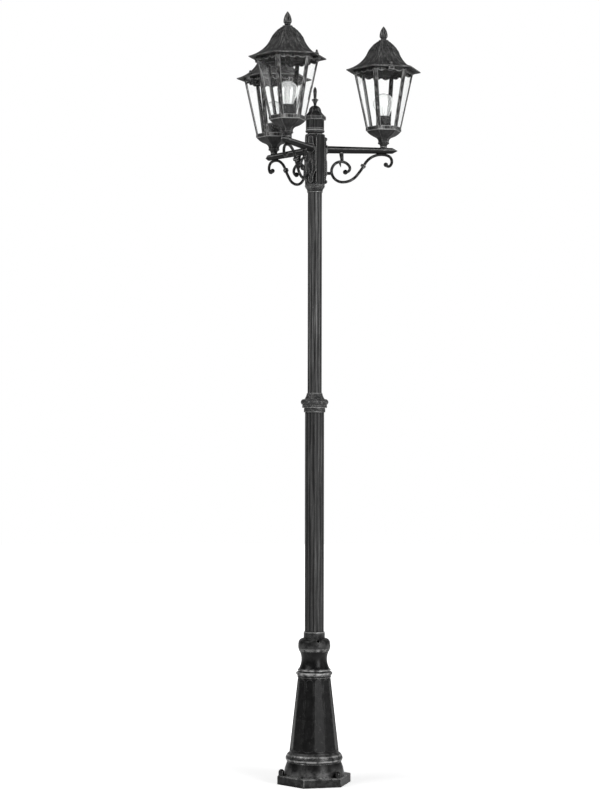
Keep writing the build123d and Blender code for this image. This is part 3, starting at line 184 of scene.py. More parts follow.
class Tree:
    """A material under construction, with one Principled shader at its end."""

    def __init__(self, name: str) -> None:
        """Starts an empty material.

        Args:
            name: The material's name.
        """
        self.material = bpy.data.materials.new(name)
        self.material.use_nodes = True
        self._clear(self.material.node_tree, "ShaderNodeOutputMaterial")
        self.shader = self.nodes.new("ShaderNodeBsdfPrincipled")
        self.join(self.shader.outputs["BSDF"], self.output.inputs["Surface"])

    @classmethod
    def of_world(cls, world: bpy.types.World) -> "Tree":
        """Starts the empty nodes of a world.

        Args:
            world: The world to light the scene with.

        Returns:
            Its tree, with nothing joined to its output.
        """
        tree = cls.__new__(cls)
        tree._clear(world.node_tree, "ShaderNodeOutputWorld")
        return tree

    def _clear(self, node_tree: bpy.types.NodeTree, ending: str) -> None:
        """Empties a node tree and gives it its output.

        Args:
            node_tree: The nodes to start from.
            ending: The type of the output.
        """
        self.nodes, self.links = node_tree.nodes, node_tree.links
        self.nodes.clear()
        self.output = self.nodes.new(ending)

    def join(self, source: "Value | Socket", target: Socket) -> None:
        """Links an output to an input."""
        self.links.new(source.socket if isinstance(source, Value) else source, target)

    def add(self, kind: str, settings: dict | None = None, sockets: dict | None = None) -> bpy.types.Node:
        """Adds any node.

        Args:
            kind: The node's type.
            settings: Its settings, such as an operation, or the stops of a ramp.
            sockets: Its inputs by name or place, as plain values, numbers of this tree or outputs to link.

        Returns:
            The new node.
        """
        node = self.nodes.new(kind)
        for name, setting in (settings or {}).items():
            if name == "stops":
                self._set_stops(node.color_ramp, setting)
            else:
                setattr(node, name, setting)
        for place, value in (sockets or {}).items():
            self._feed(node.inputs[place], value)
        return node

    def _feed(self, target: Socket, value: "Value | Socket | float | tuple") -> None:
        """Links an input to an output, or gives it a plain value.

        Args:
            target: The input.
            value: A number of this tree, an output, or what the input holds.
        """
        if isinstance(value, (Value, Socket)):
            self.join(value, target)
        else:
            target.default_value = value

    @staticmethod
    def _set_stops(ramp: bpy.types.ColorRamp, stops: Stops) -> None:
        """Gives a ramp its grey stops.

        Args:
            ramp: The ramp, with no more stops than it is to have.
            stops: Places from 0 to 1 and the grey at each.
        """
        while len(ramp.elements) < len(stops):
            ramp.elements.new(1.0)
        for element, (place, height) in zip(ramp.elements, stops):
            element.position = place
            element.color = (height, height, height, 1.0)

    def place(self, centre: Point = ORIGIN) -> Socket:
        """The point on the surface, in metres.

        Args:
            centre: What it is measured from.

        Returns:
            The output with the point.
        """
        coords = self.add("ShaderNodeTexCoord")
        moved = {"Vector": coords.outputs["Object"], "Location": tuple(-c for c in centre)}
        return self.add("ShaderNodeMapping", None, moved).outputs["Vector"]

    def parts(self, vector: Socket) -> tuple[Value, Value, Value]:
        """The three numbers of a vector."""
        node = self.add("ShaderNodeSeparateXYZ", None, {"Vector": vector})
        return tuple(Value(self, out) for out in node.outputs)

    def rays(self, *kinds: str) -> tuple[Value, ...]:
        """For each kind of ray, 1 while such a ray looks at the surface and 0 at other times."""
        path = self.add("ShaderNodeLightPath")
        return tuple(Value(self, path.outputs[f"Is {kind} Ray"]) for kind in kinds)

    def noise(self, vector: Socket, cloud: Cloud) -> Value:
        """Cloudy noise from 0 to 1.

        Args:
            vector: Where it is read.
            cloud: How fine it is.

        Returns:
            The noise.
        """
        sockets = {"Vector": vector, "Scale": cloud.scale, "Detail": cloud.detail, "Roughness": cloud.rough}
        node = self.add("ShaderNodeTexNoise", None, sockets)
        return Value(self, node.outputs["Fac"])

    def stretched(self, vector: Socket, scales: Point) -> Socket:
        """A vector scaled along each axis, so that noise read there is drawn out."""
        return self.add("ShaderNodeMapping", None, {"Vector": vector, "Scale": scales}).outputs["Vector"]

    def worn_edge(self, width: float) -> Value:
        """How far the surface turns within a width.

        Args:
            width: How far round a point is looked at.

        Returns:
            0 on flats and 1 on sharp edges.
        """
        bevel = self.add("ShaderNodeBevel", {"samples": SHADING_SAMPLES}, {"Radius": width})
        here = self.add("ShaderNodeNewGeometry")
        same = self._vector("DOT_PRODUCT", bevel.outputs["Normal"], here.outputs["Normal"])
        return (1.0 - Value(self, same.outputs["Value"])).above(*EDGE_STEP)

    def openness_for_hollow_shade(self, reach: float) -> Value:
        """How open the surface is to its surroundings: 1 on what stands out and less in hollows, where it paints
        shade.
        """
        node = self.add("ShaderNodeAmbientOcclusion", {"samples": SHADING_SAMPLES}, {"Distance": reach})
        return Value(self, node.outputs["AO"])

    def _vector(self, operation: str, *operands: "Socket | Point") -> bpy.types.Node:
        """Adds one Vector Math node."""
        return self.add("ShaderNodeVectorMath", {"operation": operation}, dict(enumerate(operands)))

    def away(self, vector: Socket) -> Socket:
        """The level direction away from the upright axis."""
        level = self._vector("MULTIPLY", vector, (1.0, 1.0, 0.0))
        return self._vector("NORMALIZE", level.outputs[0]).outputs[0]

    def around(self, vector: Socket) -> Socket:
        """The direction from the upright axis with the height kept, so that noise read there runs outward."""
        height = self._vector("MULTIPLY", vector, (0.0, 0.0, 1.0))
        return self._vector("ADD", self.away(vector), height.outputs[0]).outputs[0]

    def facing_out(self, vector: Socket) -> Value:
        """How squarely the surface looks away from the upright axis.

        Args:
            vector: The point on the surface, measured from the axis.

        Returns:
            1 outward, 0 up or down and -1 inward.
        """
        here = self.add("ShaderNodeNewGeometry")
        dot = self._vector("DOT_PRODUCT", self.away(vector), here.outputs["Normal"])
        return Value(self, dot.outputs["Value"])

    def blend(self, factor: Value, low: Colour, high: Colour) -> Socket:
        """A colour between two.

        Args:
            factor: Where it lies between them, from 0 to 1.
            low: The colour at 0.
            high: The colour at 1.

        Returns:
            The output with the colour.
        """
        node = self.add(
            "ShaderNodeMix",
            {"data_type": "RGBA"},
            {0: factor, 6: (*low, 1.0), 7: (*high, 1.0)},
        )
        return node.outputs[2]

    def bump(self, height: Value, depth: float) -> None:
        """Raises the surface by a height, in metres at height 1."""
        node = self.add("ShaderNodeBump", None, {"Height": height, "Distance": depth, "Strength": 1.0})
        self.join(node.outputs["Normal"], self.shader.inputs["Normal"])

    def set(self, **sockets: "Value | Socket | float | tuple") -> None:
        """Sets inputs of the Principled shader, by names with underscores for spaces."""
        for name, value in sockets.items():
            self._feed(self.shader.inputs[name.replace("_", " ")], value)

    def let_lamps_through(self) -> None:
        """Lets rays from lamps pass straight through, so that what stands behind the glass is lit."""
        (shadow,) = self.rays("Shadow")
        clear = self.add("ShaderNodeBsdfTransparent")
        both = {0: shadow, 1: self.shader.outputs["BSDF"], 2: clear.outputs["BSDF"]}
        mix = self.add("ShaderNodeMixShader", None, both)
        self.join(mix.outputs["Shader"], self.output.inputs["Surface"])


@dataclass(frozen=True)
class AntiquedCasting:
    """Black paint on a cast piece, with silver dragged over what stands out, painted highlight lines at some heights
    and painted shade in hollows.
    """

    paint: Colour = (0.0052, 0.0052, 0.0054)
    silver: Colour = (0.58, 0.58, 0.575)
    silver_metallic: float = 0.4
    specular: float = 0.22
    roughness: float = 0.34
    grit_roughness: float = 0.14
    patch_roughness: float = 0.12
    grain: float = 0.00022
    grit_height: float = 0.6
    edge_width: float = 0.0032
    edge_share: float = 0.9
    wash: float = 0.0
    patchy: float = 0.2
    fleck: float = 0.45
    drag_share: float = 0.35
    drag_low: float = 0.46
    drag_high: float = 0.70
    stroke: Stroke = Stroke.DABBED
    bands: Stops = ()
    edge_bands: Stops = ()
    band_foot: float = 0.0
    band_top: float = 1.0
    ridge_r: float = 0.0
    ridge_depth: float = 0.001
    outside_only: bool = False
    patches: Cloud = Cloud(55.0, 4.0, 0.6)
    grit: Cloud = Cloud(700.0, 3.0, 0.6)
    speckle: Cloud = Cloud(340.0, 3.0, 0.65)
    strokes: Cloud = Cloud(1.0, 4.0, 0.65)
    patch_step: Step = (0.38, 0.62)
    speckle_line: Line = (0.4, 1.2)
    band_line: Line = (0.45, 0.75)
    ridge_line: Line = (0.1, 0.55)

    def material(self, name: str, centre: Point = ORIGIN) -> bpy.types.Material:
        """Builds the finish.

        Args:
            name: The material's name.
            centre: The axis that ridges and strokes go round.

        Returns:
            The material.
        """
        tree = Tree(name)
        here = tree.place(centre)
        patches = tree.noise(here, self.patches)
        grit = tree.noise(here, self.grit)
        silvered = self._silvered(tree, here, patches)
        rough = self.roughness + self.grit_roughness * grit + self.patch_roughness * patches
        tree.set(
            Base_Color=tree.blend(silvered, self.paint, self.silver),
            Metallic=silvered * self.silver_metallic,
            Roughness=rough.clamped(),
            Specular_IOR_Level=self.specular,
        )
        tree.bump(grit * self.grit_height + patches * (1.0 - self.grit_height), self.grain)
        return tree.material

    def _silvered(self, tree: Tree, here: Socket, patches: Value) -> Value:
        """How much silver shows.

        It is the sum of worn edges, dragged strokes, a thin wash, bands at given heights and ridges at a given radius,
        each broken up by noise and kept out of hollows. The bands are partly painted highlight lines, and keeping
        silver out of hollows also paints shade into them.

        Args:
            tree: The material under construction.
            here: The point on the surface, measured from the axis.
            patches: Noise that wears the silver off in patches.

        Returns:
            The share of silver, from 0 to 1.
        """
        x, y, z = tree.parts(here)
        speckle = tree.noise(here, self.speckle)
        dragged = tree.around(here) if self.stroke.runs_outward else here
        strokes = tree.noise(tree.stretched(dragged, self.stroke.value), self.strokes)

        worn = patches.above(*self.patch_step).line(1.0 - self.patchy, 2.0 * self.patchy)
        broken = worn * speckle.line(*self.speckle_line)
        edges = tree.worn_edge(self.edge_width) * broken * self.edge_share
        if self.edge_bands:
            edges = edges * self._by_height(z, self.edge_bands)
        mixed = strokes * (1.0 - self.fleck) + speckle * self.fleck
        drags = mixed.above(self.drag_low, self.drag_high) * self.drag_share
        shown = edges + drags + self.wash * worn
        if self.bands:
            shown = shown + self._by_height(z, self.bands) * strokes.line(*self.band_line) * broken
        if self.ridge_r:
            radius = (x * x + y * y) ** 0.5
            ridges = radius.above(self.ridge_r - self.ridge_depth, self.ridge_r)
            shown = shown + ridges * strokes.line(*self.ridge_line) * self.drag_share
        if self.outside_only:
            shown = shown * tree.facing_out(here).above(*OUTWARD_STEP)
        # Silver kept out of hollows: partly the dry-brushed finish, partly painted shade in the hollows
        return (shown * tree.openness_for_hollow_shade(HOLLOW_SHADE_REACH).above(*HOLLOW_SHADE_STEP)).clamped()

    def _by_height(self, z: Value, stops: Stops) -> Value:
        """A share that changes with height.

        Args:
            z: The height.
            stops: Heights and the share at each.

        Returns:
            The share, on straight lines between the stops.
        """
        reach = self.band_top - self.band_foot
        places = tuple(((height - self.band_foot) / reach, share) for height, share in stops)
        return ((z - self.band_foot) / reach).ramp(places)


@dataclass(frozen=True)
class GlossCap:
    """Smooth black plastic with faint moulding waves and dust."""

    colour: Colour = (0.008, 0.008, 0.008)
    dust_colour: Colour = (0.06, 0.06, 0.06)
    specular: float = 0.5
    roughness: float = 0.22
    wave_roughness: float = 0.1
    dust_roughness: float = 0.2
    wave_depth: float = 0.0001
    waves: Cloud = Cloud(140.0, 2.0)
    dust: Cloud = Cloud(1500.0, 2.0)
    dust_step: Step = (0.62, 0.85)

    def material(self, name: str) -> bpy.types.Material:
        """Builds the finish.

        Args:
            name: The material's name.

        Returns:
            The material.
        """
        tree = Tree(name)
        here = tree.place()
        waves = tree.noise(here, self.waves)
        dust = tree.noise(here, self.dust).above(*self.dust_step)
        tree.set(
            Base_Color=tree.blend(dust, self.colour, self.dust_colour),
            Roughness=self.roughness + self.wave_roughness * waves + self.dust_roughness * dust,
            Specular_IOR_Level=self.specular,
        )
        tree.bump(waves, self.wave_depth)
        return tree.material


@dataclass(frozen=True)
class TurnedMetal:
    """Bare or plated metal with fine turning lines across its axis, stains and worn edges."""

    colour: Colour
    worn: Colour
    roughness: float
    metallic: float = 1.0
    stain_share: float = 0.25
    stain_roughness: float = 0.18
    line_roughness: float = 0.08
    line_depth: float = 0.00004
    line_scales: Point = (40.0, 40.0, 3500.0)
    lines: Cloud = Cloud(1.0, 2.0)
    stains: Cloud = Cloud(160.0, 4.0, 0.6)
    edge_width: float = 0.0008
    edge_line: Line = (0.4, 0.8)

    def material(self, name: str) -> bpy.types.Material:
        """Builds the finish.

        Args:
            name: The material's name.

        Returns:
            The material.
        """
        tree = Tree(name)
        here = tree.place()
        lines = tree.noise(tree.stretched(here, self.line_scales), self.lines)
        stains = tree.noise(here, self.stains)
        edge = tree.worn_edge(self.edge_width) * stains.line(*self.edge_line)
        tree.set(
            Base_Color=tree.blend((edge + self.stain_share * stains).clamped(), self.colour, self.worn),
            Metallic=self.metallic,
            Roughness=(self.roughness + self.stain_roughness * stains + self.line_roughness * lines).clamped(),
        )
        tree.bump(lines, self.line_depth)
        return tree.material


@dataclass(frozen=True)
class MouldedPlastic:
    """Matt plastic with a fine sparked grain."""

    colour: Colour = (0.78, 0.77, 0.72)
    shade: Colour = (0.66, 0.65, 0.60)
    roughness_line: Line = (0.55, 0.15)
    spark_depth: float = 0.00006
    spark: Cloud = Cloud(2600.0, 2.0)
    clouds: Cloud = Cloud(120.0, 3.0)

    def material(self, name: str) -> bpy.types.Material:
        """Builds the finish.

        Args:
            name: The material's name.

        Returns:
            The material.
        """
        tree = Tree(name)
        here = tree.place()
        spark = tree.noise(here, self.spark)
        clouds = tree.noise(here, self.clouds)
        tree.set(
            Base_Color=tree.blend(clouds, self.colour, self.shade),
            Roughness=spark.line(*self.roughness_line),
        )
        tree.bump(spark, self.spark_depth)
        return tree.material


@dataclass(frozen=True)
class GlazedClay:
    """Off-white glazed porcelain with pin holes and pooled glaze."""

    colour: Colour = (0.80, 0.78, 0.72)
    pooled: Colour = (0.66, 0.64, 0.58)
    roughness: float = 0.14
    pin_roughness: float = 0.3
    pool_roughness: float = 0.08
    pool_height: float = 0.5
    pin_depth: float = 0.0001
    pool: Cloud = Cloud(90.0, 3.0)
    pins: Cloud = Cloud(1800.0, 1.0)
    pin_step: Step = (0.7, 0.85)

    def material(self, name: str) -> bpy.types.Material:
        """Builds the finish.

        Args:
            name: The material's name.

        Returns:
            The material.
        """
        tree = Tree(name)
        here = tree.place()
        pool = tree.noise(here, self.pool)
        pins = tree.noise(here, self.pins).above(*self.pin_step)
        tree.set(
            Base_Color=tree.blend(pool, self.colour, self.pooled),
            Roughness=(self.roughness + self.pin_roughness * pins + self.pool_roughness * pool).clamped(),
        )
        tree.bump(pool * self.pool_height - pins, self.pin_depth)
        return tree.material


@dataclass(frozen=True)
class ClearGlass:
    """Clear glass that lets lamps through, with the slight waves of drawn sheet or blown bulbs."""

    bend: float
    clearness: float
    tint: Colour = (0.985, 0.995, 0.99)
    waves: Cloud = Cloud(18.0, 1.0)
    wave_depth: float = 0.000004

    def material(self, name: str) -> bpy.types.Material:
        """Builds the finish.

        Args:
            name: The material's name.

        Returns:
            The material.
        """
        tree = Tree(name)
        tree.set(
            Base_Color=(*self.tint, 1.0),
            Transmission_Weight=self.clearness,
            IOR=self.bend,
            Roughness=0.0,
        )
        tree.bump(tree.noise(tree.place(), self.waves), self.wave_depth)
        tree.let_lamps_through()
        return tree.material


def dress(node: str, material: bpy.types.Material) -> None:
    """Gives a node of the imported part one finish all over.

    Args:
        node: The node's name.
        material: The finish.
    """
    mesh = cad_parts[node].data
    mesh.materials.clear()
    mesh.materials.append(material)
    LOG.info("%s dressed in %s", node, material.name)


def add_surface(name: str, points: np.ndarray, body: str, material: bpy.types.Material) -> bpy.types.Object:
    """Makes one smooth piece out of grids of points and lets it ride on a body.

    Neighbours in each grid are joined by four-sided faces: corner (i, j) goes with (i, j + 1), (i + 1, j + 1) and
    (i + 1, j), so a face looks along the cross product of the second grid direction and the first.

    Args:
        name: The piece's name.
        points: Points in metres, as an array of grids by rows by columns by three.
        body: The body that carries the piece.
        material: Its finish.

    Returns:
        The new piece.
    """
    grids, rows, columns, _ = points.shape
    number = np.arange(grids * rows * columns).reshape(grids, rows, columns)
    corners = (number[:, :-1, :-1], number[:, :-1, 1:], number[:, 1:, 1:], number[:, 1:, :-1])
    faces = np.stack(corners, axis=-1).reshape(-1, 4)
    mesh = bpy.data.meshes.new(name)
    mesh.from_pydata(points.reshape(-1, 3).tolist(), [], faces.tolist())
    mesh.polygons.foreach_set("use_smooth", np.ones(len(faces), dtype=bool))
    mesh.set_sharp_from_angle(angle=math.radians(SHARP_DEG))
    mesh.materials.append(material)
    piece = bpy.data.objects.new(name, mesh)
    bpy.context.scene.collection.objects.link(piece)
    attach(piece, body)
    LOG.info("%s added with %d faces", name, len(faces))
    return piece


def arc(start: tuple, end: tuple, bulge: float, share: np.ndarray) -> tuple[np.ndarray, ...]:
    """Points on a round arc, and its normals there.

    The arc stands off its chord by the root of (radius squared less the distance from the chord's middle squared),
    less the radius, plus the bulge. The radius is (half the chord squared plus the bulge squared) over twice the
    bulge.

    Args:
        start: Radius and height of the first end.
        end: Radius and height of the last end.
        bulge: How far the middle stands to the right of the chord, seen from the start. Not zero.
        share: Places along the chord, from 0 to 1.

    Returns:
        Radius, height, and the radial and upright parts of the normal on the bulge's side.
    """
    run = np.subtract(end, start)
    length = float(np.hypot(*run))
    ahead, aside = run / length, np.array([run[1], -run[0]]) / length
    arc_r = (length**2 / 4 + bulge**2) / (2 * abs(bulge))
    past = (share - 0.5) * length
    cosine = np.sqrt(1.0 - (past / arc_r) ** 2)
    off = math.copysign(1.0, bulge) * (arc_r * cosine - arc_r + abs(bulge))
    radius = start[0] + run[0] * share + aside[0] * off
    height = start[1] + run[1] * share + aside[1] * off
    lean = past / arc_r * math.copysign(1.0, bulge)
    return radius, height, aside[0] * cosine + ahead[0] * lean, aside[1] * cosine + ahead[1] * lean


@dataclass(frozen=True)
class LeafedDome:
    """Courses of raised leaves on the six faces of a dome.

    Each course has its middle up the dome and half its length, as shares of the dome's chord, and its leaves per face.
    """

    foot_r: float
    foot_z: float
    top_r: float
    top_z: float
    bulge: float
    courses: tuple[tuple[float, float, int], ...]
    rise: float = 0.0022
    sunk: float = 0.0005
    fill: float = 0.94
    point: float = 0.7
    groove_depth: float = 0.45
    groove_width: float = 0.16
    vein_depth: float = 0.12
    vein_waves: float = 9.0
    vein_slant: float = 0.6
    rows: int = 13
    columns: int = 11

    def leaves(self) -> tuple[np.ndarray, np.ndarray, np.ndarray, np.ndarray]:
        """Middle and half size of each leaf of one face.

        Returns:
            Four lists: the middle up the dome and half the length, both as shares of the dome's chord, and the middle
            across the face and half the width, both as shares of half the face.
        """
        at = np.concatenate([np.full(count, level) for level, _, count in self.courses])
        half = np.concatenate([np.full(count, size) for _, size, count in self.courses])
        across = np.concatenate([(2 * np.arange(count) + 1) / count - 1 for _, _, count in self.courses])
        wide = np.concatenate([np.full(count, self.fill / count) for _, _, count in self.courses])
        return at, half, across, wide

    def points(self, centre: Point, turn_deg: float) -> np.ndarray:
        """Points of all leaves.

        A leaf runs from -1 to 1 along (u) and across (v). Its half width is its full one times a power of (1 - u
        squared), which points both ends. It stands up by (1 - v squared) times the root of (1 - u squared), less a
        groove along its middle and side veins, and its rim is sunk into the dome. The dome's face is the arc from foot
        to top with the given bulge, and is as wide as the hexagon there.

        Args:
            centre: The dome's axis.
            turn_deg: How far its corners are turned from +X.

        Returns:
            The points as leaves by rows by columns by three.
        """
        at, half, across, wide = (part[:, None, None] for part in self.leaves())
        u = np.linspace(-1.0, 1.0, self.rows)[None, :, None]
        v = np.linspace(-1.0, 1.0, self.columns)[None, None, :]
        arch = np.clip(1.0 - u**2, 0.0, 1.0)
        taper = arch**self.point
        along = at + u * half + 0.0 * v
        side = across + v * wide * taper
        swell = (1.0 - v**2) * np.sqrt(arch)
        groove = self.groove_depth * np.exp(-((v / self.groove_width) ** 2)) * taper
        veins = self.vein_depth * np.sin(self.vein_waves * (u + np.abs(v) * self.vein_slant)) * taper
        up = self.rise * swell * (1.0 - groove + veins) - self.sunk

        flat = math.cos(math.pi / SIDES)
        foot, top = (self.foot_r * flat, self.foot_z), (self.top_r * flat, self.top_z)
        face_r, face_z, normal_r, normal_z = arc(foot, top, self.bulge, along)
        reach = face_r + normal_r * up
        level = face_z + normal_z * up
        sideways = side * face_r * math.tan(math.pi / SIDES)

        half_deg = 180.0 / SIDES
        turns = np.radians(turn_deg + half_deg + 2 * half_deg * np.arange(SIDES))[:, None, None, None]
        x = centre[0] + reach * np.cos(turns) - sideways * np.sin(turns)
        y = centre[1] + reach * np.sin(turns) + sideways * np.cos(turns)
        z = np.broadcast_to(level, x.shape)
        points = np.stack([x, y, z], axis=-1)
        return points.reshape(-1, self.rows, self.columns, 3)


@dataclass(frozen=True)
class LobedBud:
    """Pointed bud finial with closed petals over a ring and a neck.

    Its profile starts at a radius and a height, and each step is an arc with the radius and height of its end and its
    bulge.
    """

    start: tuple[float, float]
    steps: tuple[tuple[float, float, float], ...]
    bud_foot: float
    bud_top: float
    petals: int = 6
    depth: float = 0.2
    crease_power: int = 6
    fade_power: float = 0.5
    columns: int = 73
    rows: int = 13

    def points(self, centre: Point, turn_deg: float) -> np.ndarray:
        """Points of the bud.

        The radius at an angle is the profile's radius there, less a share that is a high power of the cosine of half
        the petals times the angle, so that thin creases part wide petals. The share fades out at the bud's foot and
        tip.

        Args:
            centre: The bud's axis.
            turn_deg: Where the first crease stands.

        Returns:
            The points as one grid of rows by columns by three.
        """
        ends = [self.start] + [(r, z) for r, z, _ in self.steps]
        share = np.linspace(0.0, 1.0, self.rows)
        runs = [arc(here, (r, z), bulge, share) for here, (r, z, bulge) in zip(ends, self.steps)]
        radius = np.concatenate([run[0] for run in runs])[:, None]
        level = np.concatenate([run[1] for run in runs])[:, None]
        angle = np.linspace(0.0, 2 * math.pi, self.columns)[None, :]
        risen = np.clip((level - self.bud_foot) / (self.bud_top - self.bud_foot), 0.0, 1.0)
        fade = np.sin(math.pi * risen) ** self.fade_power
        crease = np.cos(angle * self.petals / 2) ** self.crease_power * fade
        spread = radius * (1.0 - self.depth * crease)
        turned = angle + math.radians(turn_deg)
        x = centre[0] + spread * np.cos(turned)
        y = centre[1] + spread * np.sin(turned)
        return np.stack([x, y, np.broadcast_to(level, x.shape)], axis=-1)[None]


def axis_of(node: str) -> Point:
    """Middle of a node's box in plan, at ground level."""
    low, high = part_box(node)
    return ((low.x + high.x) / 2, (low.y + high.y) / 2, 0.0)


@dataclass
class Post:
    """The foot, the two poles and their collars."""

    lower_ridge_r: float = 0.02775
    upper_ridge_r: float = 0.0210
    # Silver at given heights on the base, partly painted highlight lines where light catches the mouldings, the flange
    # and the top of the foot
    base_silver_and_highlights: Stops = (
        (0.0000, 0.05),
        (0.0225, 0.06),
        (0.0255, 0.50),
        (0.0290, 0.22),
        (0.0450, 0.08),
        (0.0600, 0.00),
        (0.0670, 0.08),
        (0.0700, 1.00),
        (0.0720, 0.60),
        (0.0740, 0.08),
        (0.0800, 0.02),
        (0.0818, 0.25),
        (0.0837, 1.00),
        (0.0855, 0.35),
        (0.0875, 0.08),
        (0.0905, 0.14),
        (0.0935, 0.00),
        (0.3100, 0.00),
        (0.3135, 0.55),
        (0.3180, 0.80),
        (0.3205, 1.00),
        (0.3224, 0.02),
        (0.3240, 0.35),
        (0.3272, 1.00),
        (0.3295, 0.20),
        (0.3310, 0.00),
        (0.3815, 0.00),
        (0.3862, 0.60),
        (0.3885, 0.08),
        (0.4335, 0.08),
        (0.4360, 0.70),
    )
    base_edges: Stops = (
        (0.000, 0.5),
        (0.020, 0.6),
        (0.025, 1.0),
        (0.030, 1.0),
        (0.060, 0.6),
        (0.094, 0.08),
        (0.300, 0.08),
        (0.311, 0.6),
        (0.398, 0.5),
        (0.402, 0.15),
        (0.422, 0.15),
        (0.430, 0.6),
    )
    base_top: float = 0.438

    def dress(self) -> None:
        """Gives every piece of the post its finish."""
        base = AntiquedCasting(
            bands=self.base_silver_and_highlights,
            edge_bands=self.base_edges,
            band_top=self.base_top,
            drag_share=0.10,
            drag_low=0.54,
            edge_share=1.7,
            edge_width=0.0035,
            wash=0.008,
            patchy=0.7,
            roughness=0.20,
            grain=0.00018,
        )
        lower = AntiquedCasting(
            stroke=Stroke.UPRIGHT, ridge_r=self.lower_ridge_r, wash=0.02, drag_share=0.2, fleck=0.1
        )
        upper = AntiquedCasting(
            stroke=Stroke.UPRIGHT, ridge_r=self.upper_ridge_r, wash=0.015, drag_share=0.34, fleck=0.1
        )
        collar = AntiquedCasting(wash=0.07, drag_share=0.5, fleck=0.6, edge_share=1.3)
        capital = AntiquedCasting(wash=0.02, drag_share=0.4, fleck=0.5, edge_share=1.9)
        screws = TurnedMetal(colour=(0.03, 0.03, 0.03), worn=(0.3, 0.3, 0.3), roughness=0.4)
        dress("base_casting", base.material("base_black_and_silver"))
        dress("lower_pole", lower.material("lower_pole_streaked"))
        dress("upper_pole", upper.material("upper_pole_streaked"))
        dress("joint_collar", collar.material("collar_mottled"))
        dress("pole_capital", capital.material("capital_mottled"))
        dress("anchor_nut_caps", GlossCap().material("nut_cap_black"))
        dress("arm_plate_screws", screws.material("blackened_screws"))
        sunk_screws = TurnedMetal(
            colour=(0.004, 0.004, 0.004), worn=(0.02, 0.02, 0.02), roughness=0.5, metallic=0.3
        ).material("sunk_black_screws")
        for node in ("base_set_screws", "joint_set_screws"):
            dress(node, sunk_screws)


@dataclass
class Hub:
    """The hub, its cap and finial, and the terminals inside."""

    dome: LeafedDome = LeafedDome(
        foot_r=0.0182,
        foot_z=1.9478,
        top_r=0.0084,
        top_z=1.964,
        bulge=0.0024,
        courses=((0.22, 0.23, 3), (0.58, 0.22, 2)),
        rise=0.0010,
    )
    cap_bands: Stops = (
        (1.8800, 0.00),
        (1.8895, 0.06),
        (1.8917, 0.90),
        (1.8929, 0.90),
        (1.8940, 0.03),
        (1.8965, 0.05),
        (1.8976, 0.55),
        (1.8990, 0.00),
        (1.9215, 0.00),
        (1.9250, 0.10),
        (1.9320, 0.12),
        (1.9360, 0.00),
    )

    def build(self) -> None:
        """Makes the leaves on the cap."""
        leaves = AntiquedCasting(drag_share=0.3, edge_width=0.0012).material("cap_leaves_silvered")
        add_surface("hub_cap_leaves", self.dome.points(ORIGIN, 0.0), "post", leaves)

    def dress(self) -> None:
        """Gives every piece of the hub its finish."""
        body = AntiquedCasting(stroke=Stroke.UPRIGHT, wash=0.008, drag_share=0.18, fleck=0.15, edge_share=1.3)
        cap = AntiquedCasting(
            bands=self.cap_bands,
            band_foot=self.cap_bands[0][0],
            band_top=self.cap_bands[-1][0],
            stroke=Stroke.UPRIGHT,
            drag_share=0.26,
            drag_low=0.44,
            drag_high=0.8,
            fleck=0.25,
        )
        finial = AntiquedCasting(stroke=Stroke.UPRIGHT, drag_share=0.3)
        brass = TurnedMetal(colour=(0.62, 0.42, 0.16), worn=(0.8, 0.62, 0.3), roughness=0.28)
        zinc = TurnedMetal(colour=(0.5, 0.5, 0.47), worn=(0.68, 0.68, 0.64), roughness=0.35)
        dress("hub_body", body.material("hub_black_and_silver"))
        dress("hub_cap", cap.material("hub_cap_silvered"))
        dress("hub_finial", finial.material("hub_finial_silvered"))
        dress("terminal_block", MouldedPlastic().material("terminal_plastic"))
        dress("terminal_screws", brass.material("brass_screws"))
        dress("lamp_nipples", zinc.material("zinc_nipples"))


@dataclass
class Arm:
    """One arm with its plate and scroll."""

    number: int
    # Painted highlight: a bright line along the middle height of every bar, where a lamp's reflection falls
    painted_highlight_band: Stops = (
        (1.8250, 0.00),
        (1.8365, 0.00),
        (1.8390, 0.60),
        (1.8402, 0.30),
        (1.8425, 0.00),
        (1.8500, 0.00),
    )

    def finishes(self) -> dict[str, bpy.types.Material]:
        """The finishes of the arm: a painted highlight line along the bar, and plain silvering on plate and scroll.

        Returns:
            A finish for each piece.
        """
        tube = AntiquedCasting(
            bands=self.painted_highlight_band,
            band_foot=self.painted_highlight_band[0][0],
            band_top=self.painted_highlight_band[-1][0],
            stroke=Stroke.REACHING,
            drag_share=0.02,
            fleck=0.1,
        )
        plate = AntiquedCasting(stroke=Stroke.UPRIGHT, drag_share=0.3, fleck=0.25)
        scroll = AntiquedCasting(drag_share=0.28, fleck=0.3)
        return {
            "plate": plate.material(f"arm_{self.number}_plate_silvered"),
            "tube": tube.material(f"arm_{self.number}_bar_painted_highlight"),
            "scroll": scroll.material(f"arm_{self.number}_scroll_silvered"),
        }

    def dress(self) -> None:
        """Gives the arm's pieces their finishes."""
        for piece, material in self.finishes().items():
            dress(f"arm_{self.number}_{piece}", material)


